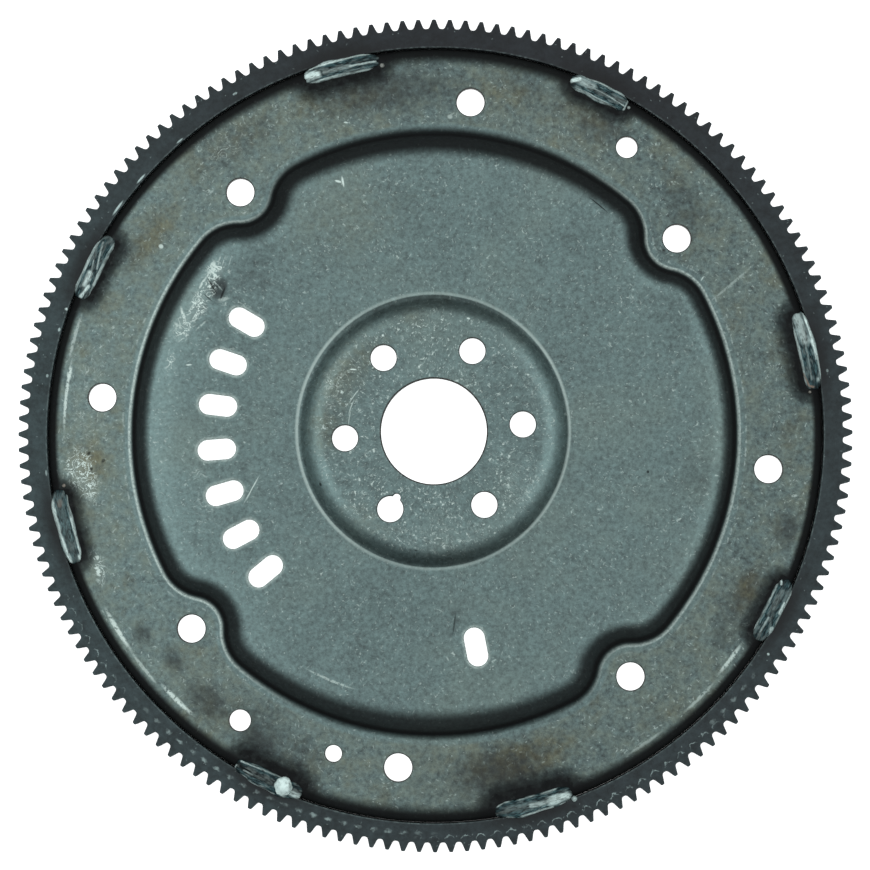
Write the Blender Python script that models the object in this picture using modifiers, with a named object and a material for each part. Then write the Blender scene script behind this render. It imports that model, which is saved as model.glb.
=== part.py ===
# Flexplate: a drawn steel plate with a starter ring gear welded round its rim.
#
# Units are metres and +Z is up. The part lies flat, engine side up: the back of
# the ring gear is at z = 0 and the crankshaft axis is the Z axis. Angles are in
# degrees, anticlockwise from +X, seen from the engine side.

import math

import bmesh
import bpy
from mathutils import Vector

# Clearance between pieces that touch each other
SEAT_GAP = 0.0003

# Ring gear
TOOTH_COUNT = 164
TIP_RADIUS = 0.1800
TOOTH_HEIGHT = 0.0045
TIP_WIDTH = 0.00144
PRESSURE_ANGLE = 20.0
ROOT_LAND = 0.0016
ROOT_FILLET = 0.0012
FIRST_TOOTH_ANGLE = 0.08
RING_DEPTH = 0.0125
RING_WIDTH = 0.0100
TIP_CHAMFER = 0.0008

# Stamped plate
PLATE_THICKNESS = 0.0030
RIM_BEND_RADIUS = 0.0040
SKIRT_LIFT = 0.0008
FLANGE_WIDTH = 0.0310

# Raised web, with a lobe cut back round each inner converter bolt
WEB_RISE = 0.0085
EAR_RADIUS = 0.0124
EAR_CORNER_RADIUS = 0.0217
WEB_WALL_ANGLE = 60.0
WEB_FOOT_RADIUS = 0.0026
WEB_SHOULDER_RADIUS = 0.0060

# Crank hub, raised again from the web
HUB_RADIUS = 0.0584
HUB_RISE = 0.0065
HUB_WALL_ANGLE = 55.0
HUB_FOOT_RADIUS = 0.0020
HUB_SHOULDER_RADIUS = 0.0050
PILOT_BORE_RADIUS = 0.0226

# Crankshaft bolts: one is out of step, so that the plate fits one way round
CRANK_BOLTS = 6
CRANK_CIRCLE_RADIUS = 0.0381
CRANK_HOLE_RADIUS = 0.00555
CRANK_FIRST_ANGLE = 4.4
KEY_BOLT = 4
KEY_BOLT_SHIFT = -3.7
KEY_NOTCH_RADIUS = 0.0017

# Converter bolts: four in from the flange's edge and four in the web's lobes
CONVERTER_BOLTS = 4
CONVERTER_HOLE_RADIUS = 0.0060
OUTER_BOLT_INSET = 0.0187
OUTER_BOLT_ANGLE = 83.8
INNER_BOLT_OUTSET = 0.0021
INNER_BOLT_ANGLE = 38.8

# Locating holes: how far in from the flange's edge, angle and hole radius
LOCATING_HOLES = (
    (0.0140, 56.1, 0.0046),
    (0.0140, 235.9, 0.0046),
    (0.0188, 252.5, 0.0036),
)

# Radial slots, their middles set in from the web's edge
SLOT_INSET = 0.0385
SLOT_LENGTH = 0.0166
SLOT_WIDTH = 0.0089
SLOT_ROW_COUNT = 7
SLOT_ROW_ANGLE = 149.5
SLOT_ROW_STEP = 11.67
SINGLE_SLOT_ANGLE = 281.0

# Weld beads, laid by hand over the groove between rim and ring: centre angle,
# length, and how far the bead strays outwards from the common circle
WELD_INSET = 0.0030
WELD_WIDTH = 0.0082
WELD_CROWN = 0.0015
WELD_CROWN_SHAPE = ((-1.0, 0.0), (-0.55, 0.75), (0.0, 1.0), (0.60, 0.70), (1.0, 0.0))
WELD_ROOT_DEPTH = 0.0014
WELD_ROOT_ANGLE = 60.0
WELD_END_TAPER = 0.80
WELDS = (
    (12.4, 0.0339, 0.0001),
    (64.2, 0.0270, -0.0003),
    (104.3, 0.0332, -0.0005),
    (153.9, 0.0300, -0.0002),
    (194.2, 0.0327, -0.0003),
    (244.4, 0.0310, 0.0010),
    (285.0, 0.0339, 0.0003),
    (332.3, 0.0288, -0.0002),
)

# How finely curves are divided
RIM_SEGMENTS = 84
RIM_BEND_STEPS = 3
WEB_ARC_STEPS = 10
EAR_ARC_STEPS = 4
EAR_CORNER_STEPS = 3
SHOULDER_STEPS = 2
HUB_SEGMENTS = 40
BOLT_HOLE_SIDES = 16
SMALL_HOLE_SIDES = 12
SLOT_END_STEPS = 4
WELD_STATIONS = 7

# Worked out from the sizes above
FACE_HEIGHT = RING_WIDTH
WEB_HEIGHT = FACE_HEIGHT + WEB_RISE
HUB_HEIGHT = WEB_HEIGHT + HUB_RISE
RING_BORE_RADIUS = TIP_RADIUS - RING_DEPTH
ROOT_RADIUS = TIP_RADIUS - TOOTH_HEIGHT
SKIRT_RADIUS = RING_BORE_RADIUS - SEAT_GAP
FLANGE_RADIUS = SKIRT_RADIUS - RIM_BEND_RADIUS
WEB_RADIUS = FLANGE_RADIUS - FLANGE_WIDTH
OUTER_BOLT_CIRCLE = FLANGE_RADIUS - OUTER_BOLT_INSET
INNER_BOLT_CIRCLE = WEB_RADIUS + INNER_BOLT_OUTSET
SLOT_CIRCLE_RADIUS = WEB_RADIUS - SLOT_INSET
WELD_RADIUS = RING_BORE_RADIUS - WELD_INSET


def clear_scene():
    for thing in list(bpy.data.objects):
        bpy.data.objects.remove(thing, do_unlink=True)


def new_collection(name):
    collection = bpy.data.collections.new(name)
    bpy.context.scene.collection.children.link(collection)
    return collection


def steel(name, colour, roughness, metallic):
    """A plain steel finish."""
    material = bpy.data.materials.new(name)
    material.use_nodes = True
    shader = material.node_tree.nodes["Principled BSDF"]
    shader.inputs["Base Color"].default_value = (*colour, 1.0)
    shader.inputs["Roughness"].default_value = roughness
    shader.inputs["Metallic"].default_value = metallic
    return material


def polar(radius, angle, height=0.0):
    """The point at this radius and angle (degrees) about the crankshaft axis."""
    turn = math.radians(angle)
    return Vector((radius * math.cos(turn), radius * math.sin(turn), height))


def circle_points(radius, height, count):
    return [polar(radius, 360.0 * i / count, height) for i in range(count)]


def arc_points(centre, radius, start, end, steps):
    """Points on an arc, angles in degrees, without the arc's last point."""
    return [centre + polar(radius, start + (end - start) * i / steps) for i in range(steps)]


def object_from_bmesh(mesh_data, name, collection):
    mesh = bpy.data.meshes.new(name)
    mesh_data.to_mesh(mesh)
    mesh_data.free()
    made = bpy.data.objects.new(name, mesh)
    collection.objects.link(made)
    return made


def finish(made, material, smooth_angle=30.0):
    made.data.materials.append(material)
    made.data.shade_smooth()
    made.data.set_sharp_from_angle(angle=math.radians(smooth_angle))


def loft(mesh_data, rings):
    """Skins closed rings of points, first to last, and returns the edges of the end rings.

    Rings of one count are joined corner to corner. A flat between rings of two
    counts is filled in its plane.
    """
    corners = [[mesh_data.verts.new(point) for point in points] for points in rings]
    loops = []
    for ring in corners:
        pairs = zip(ring, ring[1:] + ring[:1])
        loops.append([mesh_data.edges.new(pair) for pair in pairs])
    for i in range(len(rings) - 1):
        lower, upper = corners[i], corners[i + 1]
        if len(lower) != len(upper):
            bmesh.ops.triangle_fill(mesh_data, edges=loops[i] + loops[i + 1], use_beauty=True)
            continue
        for j in range(len(lower)):
            mesh_data.faces.new((lower[j - 1], lower[j], upper[j], upper[j - 1]))
    return loops[0], loops[-1]


def boolean(target, operation, tool=None, collection=None):
    modifier = target.modifiers.new(operation.capitalize(), "BOOLEAN")
    modifier.operation = operation
    modifier.solver = "EXACT"
    if collection:
        modifier.operand_type = "COLLECTION"
        modifier.collection = collection
    else:
        modifier.object = tool


def hide_tool(tool):
    tool.hide_render = True
    tool.display_type = "WIRE"


def prism(name, outline, low, high, collection):
    """A flat outline carried straight up from one height to another."""
    mesh_data = bmesh.new()
    base = mesh_data.faces.new([mesh_data.verts.new((p.x, p.y, low)) for p in outline])
    side = bmesh.ops.extrude_face_region(mesh_data, geom=[base])
    top = [item for item in side["geom"] if isinstance(item, bmesh.types.BMVert)]
    bmesh.ops.translate(mesh_data, verts=top, vec=(0.0, 0.0, high - low))
    bmesh.ops.recalc_face_normals(mesh_data, faces=mesh_data.faces)
    return object_from_bmesh(mesh_data, name, collection)


def web_outline(inset, height):
    """The lobed outline of the raised web, moved inwards by inset.

    Each quarter is one lobe: a concave arc about an inner converter bolt, a
    convex corner on both sides of it, and a long arc about the crankshaft axis
    to the next lobe. The arcs meet at tangents.
    """
    corner_reach = WEB_RADIUS - EAR_CORNER_RADIUS
    touch = EAR_RADIUS + EAR_CORNER_RADIUS
    sides = INNER_BOLT_CIRCLE**2 + corner_reach**2 - touch**2
    cosine = sides / (2 * INNER_BOLT_CIRCLE * corner_reach)
    half_lobe = math.degrees(math.acos(cosine))
    along = INNER_BOLT_CIRCLE - corner_reach * math.cos(math.radians(half_lobe))
    across = corner_reach * math.sin(math.radians(half_lobe))
    lean = math.degrees(math.atan2(across, along))
    quarter = 360.0 / CONVERTER_BOLTS
    points = []
    for i in range(CONVERTER_BOLTS):
        middle = INNER_BOLT_ANGLE + quarter * i
        bolt = polar(INNER_BOLT_CIRCLE, middle, height)
        before = polar(corner_reach, middle - half_lobe, height)
        after = polar(corner_reach, middle + half_lobe, height)
        corner = EAR_CORNER_RADIUS - inset
        inward = middle + 180.0
        points += arc_points(before, corner, middle - half_lobe, middle + lean, EAR_CORNER_STEPS)
        points += arc_points(bolt, EAR_RADIUS + inset, inward + lean, inward - lean, EAR_ARC_STEPS)
        points += arc_points(after, corner, middle - lean, middle + half_lobe, EAR_CORNER_STEPS)
        start = middle + half_lobe
        end = middle + quarter - half_lobe
        axis = Vector((0.0, 0.0, height))
        points += arc_points(axis, WEB_RADIUS - inset, start, end, WEB_ARC_STEPS)
    return points


def drawn_wall(rise, angle, foot_radius, shoulder_radius):
    """(run, height) points up a drawn wall, from its foot crease to the flat on top."""
    slope = math.radians(angle)
    foot = (foot_radius * math.sin(slope), foot_radius * (1 - math.cos(slope)))
    drop = shoulder_radius * (1 - math.cos(slope))
    straight = (rise - foot[1] - drop) / math.tan(slope)
    total = foot[0] + straight + shoulder_radius * math.sin(slope)
    points = [(0.0, 0.0), foot]
    for i in range(SHOULDER_STEPS + 1):
        left = slope * (1 - i / SHOULDER_STEPS)
        run = total - shoulder_radius * math.sin(left)
        points.append((run, rise - shoulder_radius * (1 - math.cos(left))))
    return points


def plate_rings():
    """The engine-side surface of the plate as rings, from the skirt's edge to the pilot bore."""
    rings = [circle_points(SKIRT_RADIUS, SKIRT_LIFT, RIM_SEGMENTS)]
    for i in range(RIM_BEND_STEPS + 1):
        turn = math.radians(90.0 * i / RIM_BEND_STEPS)
        radius = FLANGE_RADIUS + RIM_BEND_RADIUS * math.cos(turn)
        height = FACE_HEIGHT - RIM_BEND_RADIUS * (1 - math.sin(turn))
        rings.append(circle_points(radius, height, RIM_SEGMENTS))
    for run, height in drawn_wall(WEB_RISE, WEB_WALL_ANGLE, WEB_FOOT_RADIUS, WEB_SHOULDER_RADIUS):
        rings.append(web_outline(run, FACE_HEIGHT + height))
    for run, height in drawn_wall(HUB_RISE, HUB_WALL_ANGLE, HUB_FOOT_RADIUS, HUB_SHOULDER_RADIUS):
        rings.append(circle_points(HUB_RADIUS - run, WEB_HEIGHT + height, HUB_SEGMENTS))
    rings.append(circle_points(PILOT_BORE_RADIUS, HUB_HEIGHT, HUB_SEGMENTS))
    return rings


def hole_cutter(name, radius, angle, hole_radius, face_height, sides, cutters):
    """An upright cutter through the plate where its upper face is at face_height."""
    bpy.ops.mesh.primitive_cylinder_add(vertices=sides, radius=hole_radius, depth=4 * PLATE_THICKNESS)
    cutter = bpy.context.active_object
    cutter.name = name
    cutter.location = polar(radius, angle, face_height - PLATE_THICKNESS / 2)
    for collection in list(cutter.users_collection):
        collection.objects.unlink(cutter)
    cutters.objects.link(cutter)
    hide_tool(cutter)


def slot_cutter(name, angle, cutters):
    """A radial slot with full round ends."""
    end_radius = SLOT_WIDTH / 2
    reach = SLOT_LENGTH / 2 - end_radius
    outer = Vector((reach, 0.0, 0.0))
    outline = arc_points(outer, end_radius, -90, 90, SLOT_END_STEPS)
    outline.append(outer + polar(end_radius, 90))
    outline += [Vector((-p.x, -p.y, 0.0)) for p in outline]
    depth = 2 * PLATE_THICKNESS
    cutter = prism(name, outline, -depth, depth, cutters)
    cutter.location = polar(SLOT_CIRCLE_RADIUS, angle, WEB_HEIGHT - PLATE_THICKNESS / 2)
    cutter.rotation_euler.z = math.radians(angle)
    hide_tool(cutter)


def make_plate(parts, cutters, material):
    mesh_data = bmesh.new()
    loft(mesh_data, plate_rings())
    bmesh.ops.recalc_face_normals(mesh_data, faces=mesh_data.faces)
    if sum(face.normal.z * face.calc_area() for face in mesh_data.faces) < 0:
        bmesh.ops.reverse_faces(mesh_data, faces=mesh_data.faces)
    plate = object_from_bmesh(mesh_data, "flexplate", parts)
    finish(plate, material)
    sheet = plate.modifiers.new("Sheet", "SOLIDIFY")
    sheet.thickness = PLATE_THICKNESS
    sheet.offset = -1.0
    sheet.use_even_offset = True

    for i in range(CONVERTER_BOLTS):
        quarter = 360.0 / CONVERTER_BOLTS * i
        hole_cutter(f"outer_bolt_{i + 1}", OUTER_BOLT_CIRCLE, OUTER_BOLT_ANGLE + quarter,
                    CONVERTER_HOLE_RADIUS, FACE_HEIGHT, BOLT_HOLE_SIDES, cutters)
        hole_cutter(f"inner_bolt_{i + 1}", INNER_BOLT_CIRCLE, INNER_BOLT_ANGLE + quarter,
                    CONVERTER_HOLE_RADIUS, FACE_HEIGHT, BOLT_HOLE_SIDES, cutters)
    for i in range(CRANK_BOLTS):
        angle = CRANK_FIRST_ANGLE + 360.0 / CRANK_BOLTS * i
        if i == KEY_BOLT:
            angle += KEY_BOLT_SHIFT
            hole_cutter("key_notch", CRANK_CIRCLE_RADIUS - CRANK_HOLE_RADIUS, angle,
                        KEY_NOTCH_RADIUS, HUB_HEIGHT, SMALL_HOLE_SIDES, cutters)
        hole_cutter(f"crank_bolt_{i + 1}", CRANK_CIRCLE_RADIUS, angle,
                    CRANK_HOLE_RADIUS, HUB_HEIGHT, BOLT_HOLE_SIDES, cutters)
    for i, (inset, angle, hole_radius) in enumerate(LOCATING_HOLES):
        hole_cutter(f"locating_{i + 1}", FLANGE_RADIUS - inset, angle,
                    hole_radius, FACE_HEIGHT, SMALL_HOLE_SIDES, cutters)
    for i in range(SLOT_ROW_COUNT):
        slot_cutter(f"slot_{i + 1}", SLOT_ROW_ANGLE + SLOT_ROW_STEP * i, cutters)
    slot_cutter("slot_single", SINGLE_SLOT_ANGLE, cutters)
    boolean(plate, "DIFFERENCE", collection=cutters)


def tooth_outline():
    """The hobbed outline, with its tips carried past the tip circle, one gap centred on +X."""
    pitch = 360.0 / TOOTH_COUNT
    overrun = TIP_CHAMFER
    flank_foot = ROOT_RADIUS + ROOT_FILLET
    spread = math.tan(math.radians(PRESSURE_ANGLE))
    half_tip = TIP_WIDTH / 2 - overrun * spread
    half_foot = TIP_WIDTH / 2 + (TIP_RADIUS - flank_foot) * spread
    tip_turn = math.degrees(half_tip / (TIP_RADIUS + overrun))
    foot_turn = math.degrees(half_foot / flank_foot)
    land_turn = math.degrees(ROOT_LAND / 2 / ROOT_RADIUS)
    points = []
    for i in range(TOOTH_COUNT):
        gap = pitch * i
        middle = gap + pitch / 2
        points.append(polar(ROOT_RADIUS, gap + land_turn))
        points.append(polar(flank_foot, middle - foot_turn))
        points.append(polar(TIP_RADIUS + overrun, middle - tip_turn))
        points.append(polar(TIP_RADIUS + overrun, middle + tip_turn))
        points.append(polar(flank_foot, middle + foot_turn))
        points.append(polar(ROOT_RADIUS, gap + pitch - land_turn))
    return points


def make_ring_gear(parts, cutters, material):
    """A turned hoop with a chamfered front corner, cut by the tooth outline."""
    flat_to_corner = 1 / math.cos(math.pi / TOOTH_COUNT)
    outer = TIP_RADIUS * flat_to_corner
    chamfered = (TIP_RADIUS - TIP_CHAMFER) * flat_to_corner
    bore = RING_BORE_RADIUS * flat_to_corner
    profile = (
        (bore, RING_WIDTH),
        (chamfered, RING_WIDTH),
        (outer, RING_WIDTH - TIP_CHAMFER),
        (outer, 0.0),
        (bore, 0.0),
    )
    mesh_data = bmesh.new()
    corners = [mesh_data.verts.new((radius, 0.0, height)) for radius, height in profile]
    for pair in zip(corners, corners[1:] + corners[:1]):
        mesh_data.edges.new(pair)
    ring = object_from_bmesh(mesh_data, "ring_gear", parts)
    turned = ring.modifiers.new("Turned", "SCREW")
    turned.steps = TOOTH_COUNT
    turned.render_steps = TOOTH_COUNT
    turned.use_merge_vertices = True
    turned.merge_threshold = 0.00001
    hob = prism("hobbed_outline", tooth_outline(), -RING_WIDTH, 2 * RING_WIDTH, cutters)
    hide_tool(hob)
    boolean(ring, "INTERSECT", tool=hob)
    first_tooth = FIRST_TOOTH_ANGLE - 180.0 / TOOTH_COUNT
    for piece in (ring, hob):
        piece.rotation_euler.z = math.radians(first_tooth)
    finish(ring, material)


def weld_section(stray):
    """(outward, up) points round a bead, about the weld circle and the bead's seat.

    The crown lies over the groove. The root goes down into it, beside the ring's
    bore and the bend of the plate's rim.
    """
    half = WELD_WIDTH / 2
    groove_wall = RING_BORE_RADIUS - SEAT_GAP - WELD_RADIUS
    off_bend = RIM_BEND_RADIUS + 1.5 * SEAT_GAP
    bend_turn = math.radians(WELD_ROOT_ANGLE)
    bend_out = FLANGE_RADIUS + off_bend * math.cos(bend_turn) - WELD_RADIUS
    bend_up = off_bend * math.sin(bend_turn) - RIM_BEND_RADIUS - SEAT_GAP
    crown = [(stray + half * out, WELD_CROWN * up) for out, up in WELD_CROWN_SHAPE]
    root = [(groove_wall, 0.0), (groove_wall, -WELD_ROOT_DEPTH), (bend_out, bend_up)]
    return crown + root


def make_weld(name, angle, length, stray, parts, material):
    """One bead, lofted along the groove, with narrowed ends."""
    half_turn = math.degrees(length / 2 / WELD_RADIUS)
    seat = FACE_HEIGHT + SEAT_GAP
    section = weld_section(stray)
    rings = []
    for i in range(WELD_STATIONS):
        along = 2 * i / (WELD_STATIONS - 1) - 1
        size = math.sqrt(1 - WELD_END_TAPER * along**4)
        turn = angle + half_turn * along
        rings.append([polar(WELD_RADIUS + size * out, turn, seat + size * up) for out, up in section])
    mesh_data = bmesh.new()
    for end in loft(mesh_data, rings):
        bmesh.ops.contextual_create(mesh_data, geom=end)
    bmesh.ops.recalc_face_normals(mesh_data, faces=mesh_data.faces)
    weld = object_from_bmesh(mesh_data, name, parts)
    finish(weld, material, smooth_angle=50.0)


def main():
    clear_scene()
    parts = new_collection("flexplate")
    plate_cutters = new_collection("plate_cutters")
    ring_cutters = new_collection("ring_cutters")
    plate_steel = steel("plate_steel", (0.13, 0.18, 0.17), 0.45, 0.8)
    ring_steel = steel("ring_steel", (0.035, 0.045, 0.05), 0.5, 0.7)
    weld_metal = steel("weld_metal", (0.22, 0.30, 0.30), 0.35, 0.9)
    make_plate(parts, plate_cutters, plate_steel)
    make_ring_gear(parts, ring_cutters, ring_steel)
    for i, (angle, length, stray) in enumerate(WELDS):
        make_weld(f"weld_{i + 1}", angle, length, stray, parts, weld_metal)


main()
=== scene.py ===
import math

import bmesh
import bpy
import numpy as np
from mathutils import Matrix, Vector, noise


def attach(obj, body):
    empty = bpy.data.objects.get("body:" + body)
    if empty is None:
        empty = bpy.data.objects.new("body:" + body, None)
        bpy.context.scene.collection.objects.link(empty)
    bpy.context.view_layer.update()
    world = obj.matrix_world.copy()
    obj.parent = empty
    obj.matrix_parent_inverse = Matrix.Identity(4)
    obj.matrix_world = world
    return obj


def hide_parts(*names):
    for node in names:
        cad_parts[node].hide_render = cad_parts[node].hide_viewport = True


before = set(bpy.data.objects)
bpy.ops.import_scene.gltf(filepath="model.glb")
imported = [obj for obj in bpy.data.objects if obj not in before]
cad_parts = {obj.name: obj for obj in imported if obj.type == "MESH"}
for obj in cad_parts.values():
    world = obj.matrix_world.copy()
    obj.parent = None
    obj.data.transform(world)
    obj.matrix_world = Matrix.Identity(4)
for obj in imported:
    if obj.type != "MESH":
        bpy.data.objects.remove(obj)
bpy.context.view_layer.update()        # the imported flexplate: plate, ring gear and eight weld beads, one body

print("frame loaded:", len(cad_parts), "nodes")

mm = 0.001


# small helpers

def clearSelection():
    active = bpy.context.view_layer.objects.active
    if active and active.mode != "OBJECT":
        bpy.ops.object.mode_set(mode="OBJECT")
    bpy.ops.object.select_all(action="DESELECT")


def pick(piece):
    clearSelection()
    piece.select_set(True)
    bpy.context.view_layer.objects.active = piece


def startEdit(piece, action="SELECT"):
    pick(piece)
    bpy.ops.object.mode_set(mode="EDIT")
    bpy.ops.mesh.select_all(action=action)
    return bmesh.from_edit_mesh(piece.data)


def endEdit():
    bpy.ops.object.mode_set(mode="OBJECT")


def polarPoint(radius, angle, height=0.0):
    turn = math.radians(angle)
    return Vector((radius * math.cos(turn), radius * math.sin(turn), height))


def extrudeEdges(piece):
    bpy.ops.mesh.extrude_edges_move(TRANSFORM_OT_translate={"value": (0, 0, mm)})
    return bmesh.from_edit_mesh(piece.data)


def named(name):
    piece = bpy.context.active_object
    piece.name = name
    return piece


def recalcNormals(piece, threshold=0.000004):
    startEdit(piece)
    bpy.ops.mesh.remove_doubles(threshold=threshold)
    bpy.ops.mesh.normals_make_consistent(inside=False)
    endEdit()


def smoothByAngle(piece, angle):
    pick(piece)
    bpy.ops.object.shade_smooth_by_angle(angle=math.radians(angle))


def readPoints(mesh):
    places = np.empty(len(mesh.vertices) * 3)
    mesh.vertices.foreach_get("co", places)
    return places.reshape(-1, 3)


def writePoints(mesh, places):
    mesh.vertices.foreach_set("co", np.ascontiguousarray(places).ravel())
    mesh.update()


def paintPoints(mesh, name, values):
    layer = mesh.attributes.get(name) or mesh.attributes.new(name, "FLOAT", "POINT")
    layer.data.foreach_set("value", np.ascontiguousarray(values, dtype=np.float32))


def finishPiece(piece, slotName, *nodeNames):
    for name in nodeNames:
        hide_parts(name)
    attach(piece, "root")


# a short way to lay out nodes; a socket knows the tree that it belongs to

def srgb(*levels):
    steps = (((c / 255 + 0.055) / 1.055) ** 2.4 if c > 10 else c / 3294 for c in levels)
    return (*steps, 1.0)


def wire(node, feeds):
    # gives a node's sockets numbers or other nodes' outputs
    for name, value in dict(feeds).items():
        if isinstance(value, bpy.types.NodeSocket):
            node.id_data.links.new(value, node.inputs[name])
        elif value is not None:
            node.inputs[name].default_value = value
    return node


def put(tree, kind, feeds=(), **settings):
    node = tree.nodes.new("ShaderNode" + kind)
    for name, value in settings.items():
        setattr(node, name, value)
    return wire(node, feeds)


def treeOf(*values):
    return next(value.id_data for value in values if isinstance(value, bpy.types.NodeSocket))


def calc(operation, *values, clamp=False):
    node = put(treeOf(*values), "Math", enumerate(values), operation=operation, use_clamp=clamp)
    return node.outputs[0]


def inTurn(operation, total, *others):
    for value in others:
        total = calc(operation, total, value)
    return total


def plus(*values):
    return inTurn("ADD", *values)


def minus(*values):
    return inTurn("SUBTRACT", *values)


def times(*values):
    return inTurn("MULTIPLY", *values)


def most(*values):
    return inTurn("MAXIMUM", *values)


def hypot(first, last):
    return calc("SQRT", plus(times(first, first), times(last, last)))


def vectorCalc(operation, first, second=None):
    feeds = {0: first, "Scale" if operation == "SCALE" else 1: second}
    return put(treeOf(first), "VectorMath", feeds, operation=operation).outputs[0]


def ranged(value, low, high, first=0.0, last=1.0, smooth=True):
    feeds = {"Value": value, "From Min": low, "From Max": high, "To Min": first, "To Max": last}
    kind = "SMOOTHSTEP" if smooth else "LINEAR"
    return put(treeOf(value), "MapRange", feeds, interpolation_type=kind).outputs[0]


def falling(value, low, high):
    return ranged(value, low, high, 1.0, 0.0)


def band(value, outerLow, innerLow, innerHigh, outerHigh):
    return times(ranged(value, outerLow, innerLow), falling(value, innerHigh, outerHigh))


def mixColour(factor, first, last, blend="MIX"):
    return put(treeOf(factor, first, last), "Mix", {0: factor, 6: first, 7: last},
               data_type="RGBA", blend_type=blend).outputs[2]


def mixValue(factor, first, last):
    return put(treeOf(factor), "Mix", {0: factor, 2: first, 3: last}, data_type="FLOAT").outputs[0]


def grey(level):
    return put(treeOf(level), "CombineColor", {0: level, 1: level, 2: level}).outputs[0]


def split(value, kind):
    return put(treeOf(value), "Separate" + kind, {0: value}).outputs


def noiseOf(place, scale, detail=2.0, roughness=0.5, distortion=0.0):
    feeds = {"Vector": place, "Scale": scale, "Detail": detail, "Roughness": roughness,
             "Distortion": distortion}
    return put(treeOf(place), "TexNoise", feeds).outputs["Fac"]


def noiseColour(fac):
    # the three noises that come with the one whose output is given
    return fac.node.outputs["Color"]


def attributeOf(tree, name):
    return put(tree, "Attribute", attribute_name=name).outputs["Fac"]


def bumped(height, strength, distance):
    feeds = {"Strength": strength, "Distance": distance, "Height": height}
    return put(treeOf(height), "Bump", feeds).outputs[0]


def newGroup(name, inputs, *outputs):
    # inputs are floats with their values or vectors, outputs are vectors if named a place
    group = bpy.data.node_groups.new(name, "ShaderNodeTree")
    for title, value in inputs.items():
        kind = "Float" if isinstance(value, float) else "Vector"
        socket = group.interface.new_socket(title, in_out="INPUT", socket_type="NodeSocket" + kind)
        if value is not None:
            socket.default_value = value
    for title in outputs:
        kind = "Vector" if title.endswith("Place") else "Float"
        group.interface.new_socket(title, in_out="OUTPUT", socket_type="NodeSocket" + kind)
    return group, group.nodes.new("NodeGroupInput").outputs, group.nodes.new("NodeGroupOutput")


def useGroup(tree, group, feeds=()):
    node = tree.nodes.new("ShaderNodeGroup")
    node.node_tree = group
    return wire(node, feeds).outputs


# the camera stands a little low and right of straight above, as in the photograph
cameraLook = {
    "aim": (0.0002, -0.0008, 0.0100),
    "reach": (0.029, -0.082, 1.497),
    "lens": 143.9,
    "sensor": 36.0,
}


def makeCamera(look):
    data = bpy.data.cameras.new("studioCamera")
    data.lens = look["lens"]
    data.sensor_width = look["sensor"]
    camera = bpy.data.objects.new("studioCamera", data)
    bpy.context.scene.collection.objects.link(camera)
    reach = Vector(look["reach"])
    camera.location = Vector(look["aim"]) + reach
    back = reach.normalized()
    right = Vector((0, 1, 0)).cross(back).normalized()
    axes = Matrix((right, back.cross(right), back)).transposed()
    camera.rotation_euler = axes.to_euler()
    bpy.context.scene.camera = camera


# soft light from above, paler at the zenith than at the horizon
lightLook = {
    "softboxSize": 2.2,
    "softboxPlace": (0.0, 0.35, 1.9),
    "softboxPower": 18.0,
    "skyColour": (0.93, 0.98, 1.0, 1.0),
    "skyRise": (0.05, 0.95),
    "zenith": 0.52,
    "horizon": 0.08,
    "floorSize": 6.0,
    "floorHeight": -0.00005,
    "floorFinish": {
        "Base Color": (0.86, 0.87, 0.88, 1.0),
        "Roughness": 0.9,
        "Specular IOR Level": 0.0,
        "Emission Color": (1.0, 1.0, 1.0, 1.0),
        "Emission Strength": 1.0,
    },
}


def makeLight(look):
    data = bpy.data.lights.new("softbox", "AREA")
    data.shape = "SQUARE"
    data.size = look["softboxSize"]
    data.energy = look["softboxPower"]
    box = bpy.data.objects.new("softbox", data)
    bpy.context.scene.collection.objects.link(box)
    box.location = Vector(look["softboxPlace"])
    box.rotation_euler = box.location.to_track_quat("Z", "Y").to_euler()

    world = bpy.data.worlds.new("studio")
    bpy.context.scene.world = world
    world.use_nodes = True
    height = split(put(world.node_tree, "TexCoord").outputs["Generated"], "XYZ")[2]
    strength = ranged(height, *look["skyRise"], look["horizon"], look["zenith"])
    wire(world.node_tree.nodes["Background"], {"Color": look["skyColour"], "Strength": strength})
    bpy.context.scene.view_settings.view_transform = "Standard"


def makeFloor(look):
    bpy.ops.mesh.primitive_plane_add(size=look["floorSize"], location=(0, 0, look["floorHeight"]))
    floor = named("studioFloor")
    material = bpy.data.materials.new("paleFloor")
    material.use_nodes = True
    wire(material.node_tree.nodes["Principled BSDF"], look["floorFinish"])
    floor.data.materials.append(material)


clearSelection()
makeCamera(cameraLook)
makeLight(lightLook)
makeFloor(lightLook)
print("camera, light and floor made")


# effects that the materials share; marks are drawn on the surface unrolled at this radius
unrollRadius = 150.0
toothCount = 164


def makePolarGroup():
    # the object's own coordinates in millimetres, and unrolled: arc, radius, height
    group, _, end = newGroup("unrolled", {}, "Place", "Arc Place", "Radius", "Rightward",
                             "Upward", "Turn")
    place = vectorCalc("SCALE", put(group, "TexCoord").outputs["Object"], 1000.0)
    x, y, z = split(place, "XYZ")
    turn = calc("ARCTAN2", y, x)
    radius = hypot(x, y)
    arc = times(turn, unrollRadius)
    wire(end, {"Place": place, "Radius": radius, "Turn": turn,
               "Arc Place": put(group, "CombineXYZ", {0: arc, 1: radius, 2: z}).outputs[0],
               "Rightward": calc("DIVIDE", x, radius), "Upward": calc("DIVIDE", y, radius)})
    return group


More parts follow.
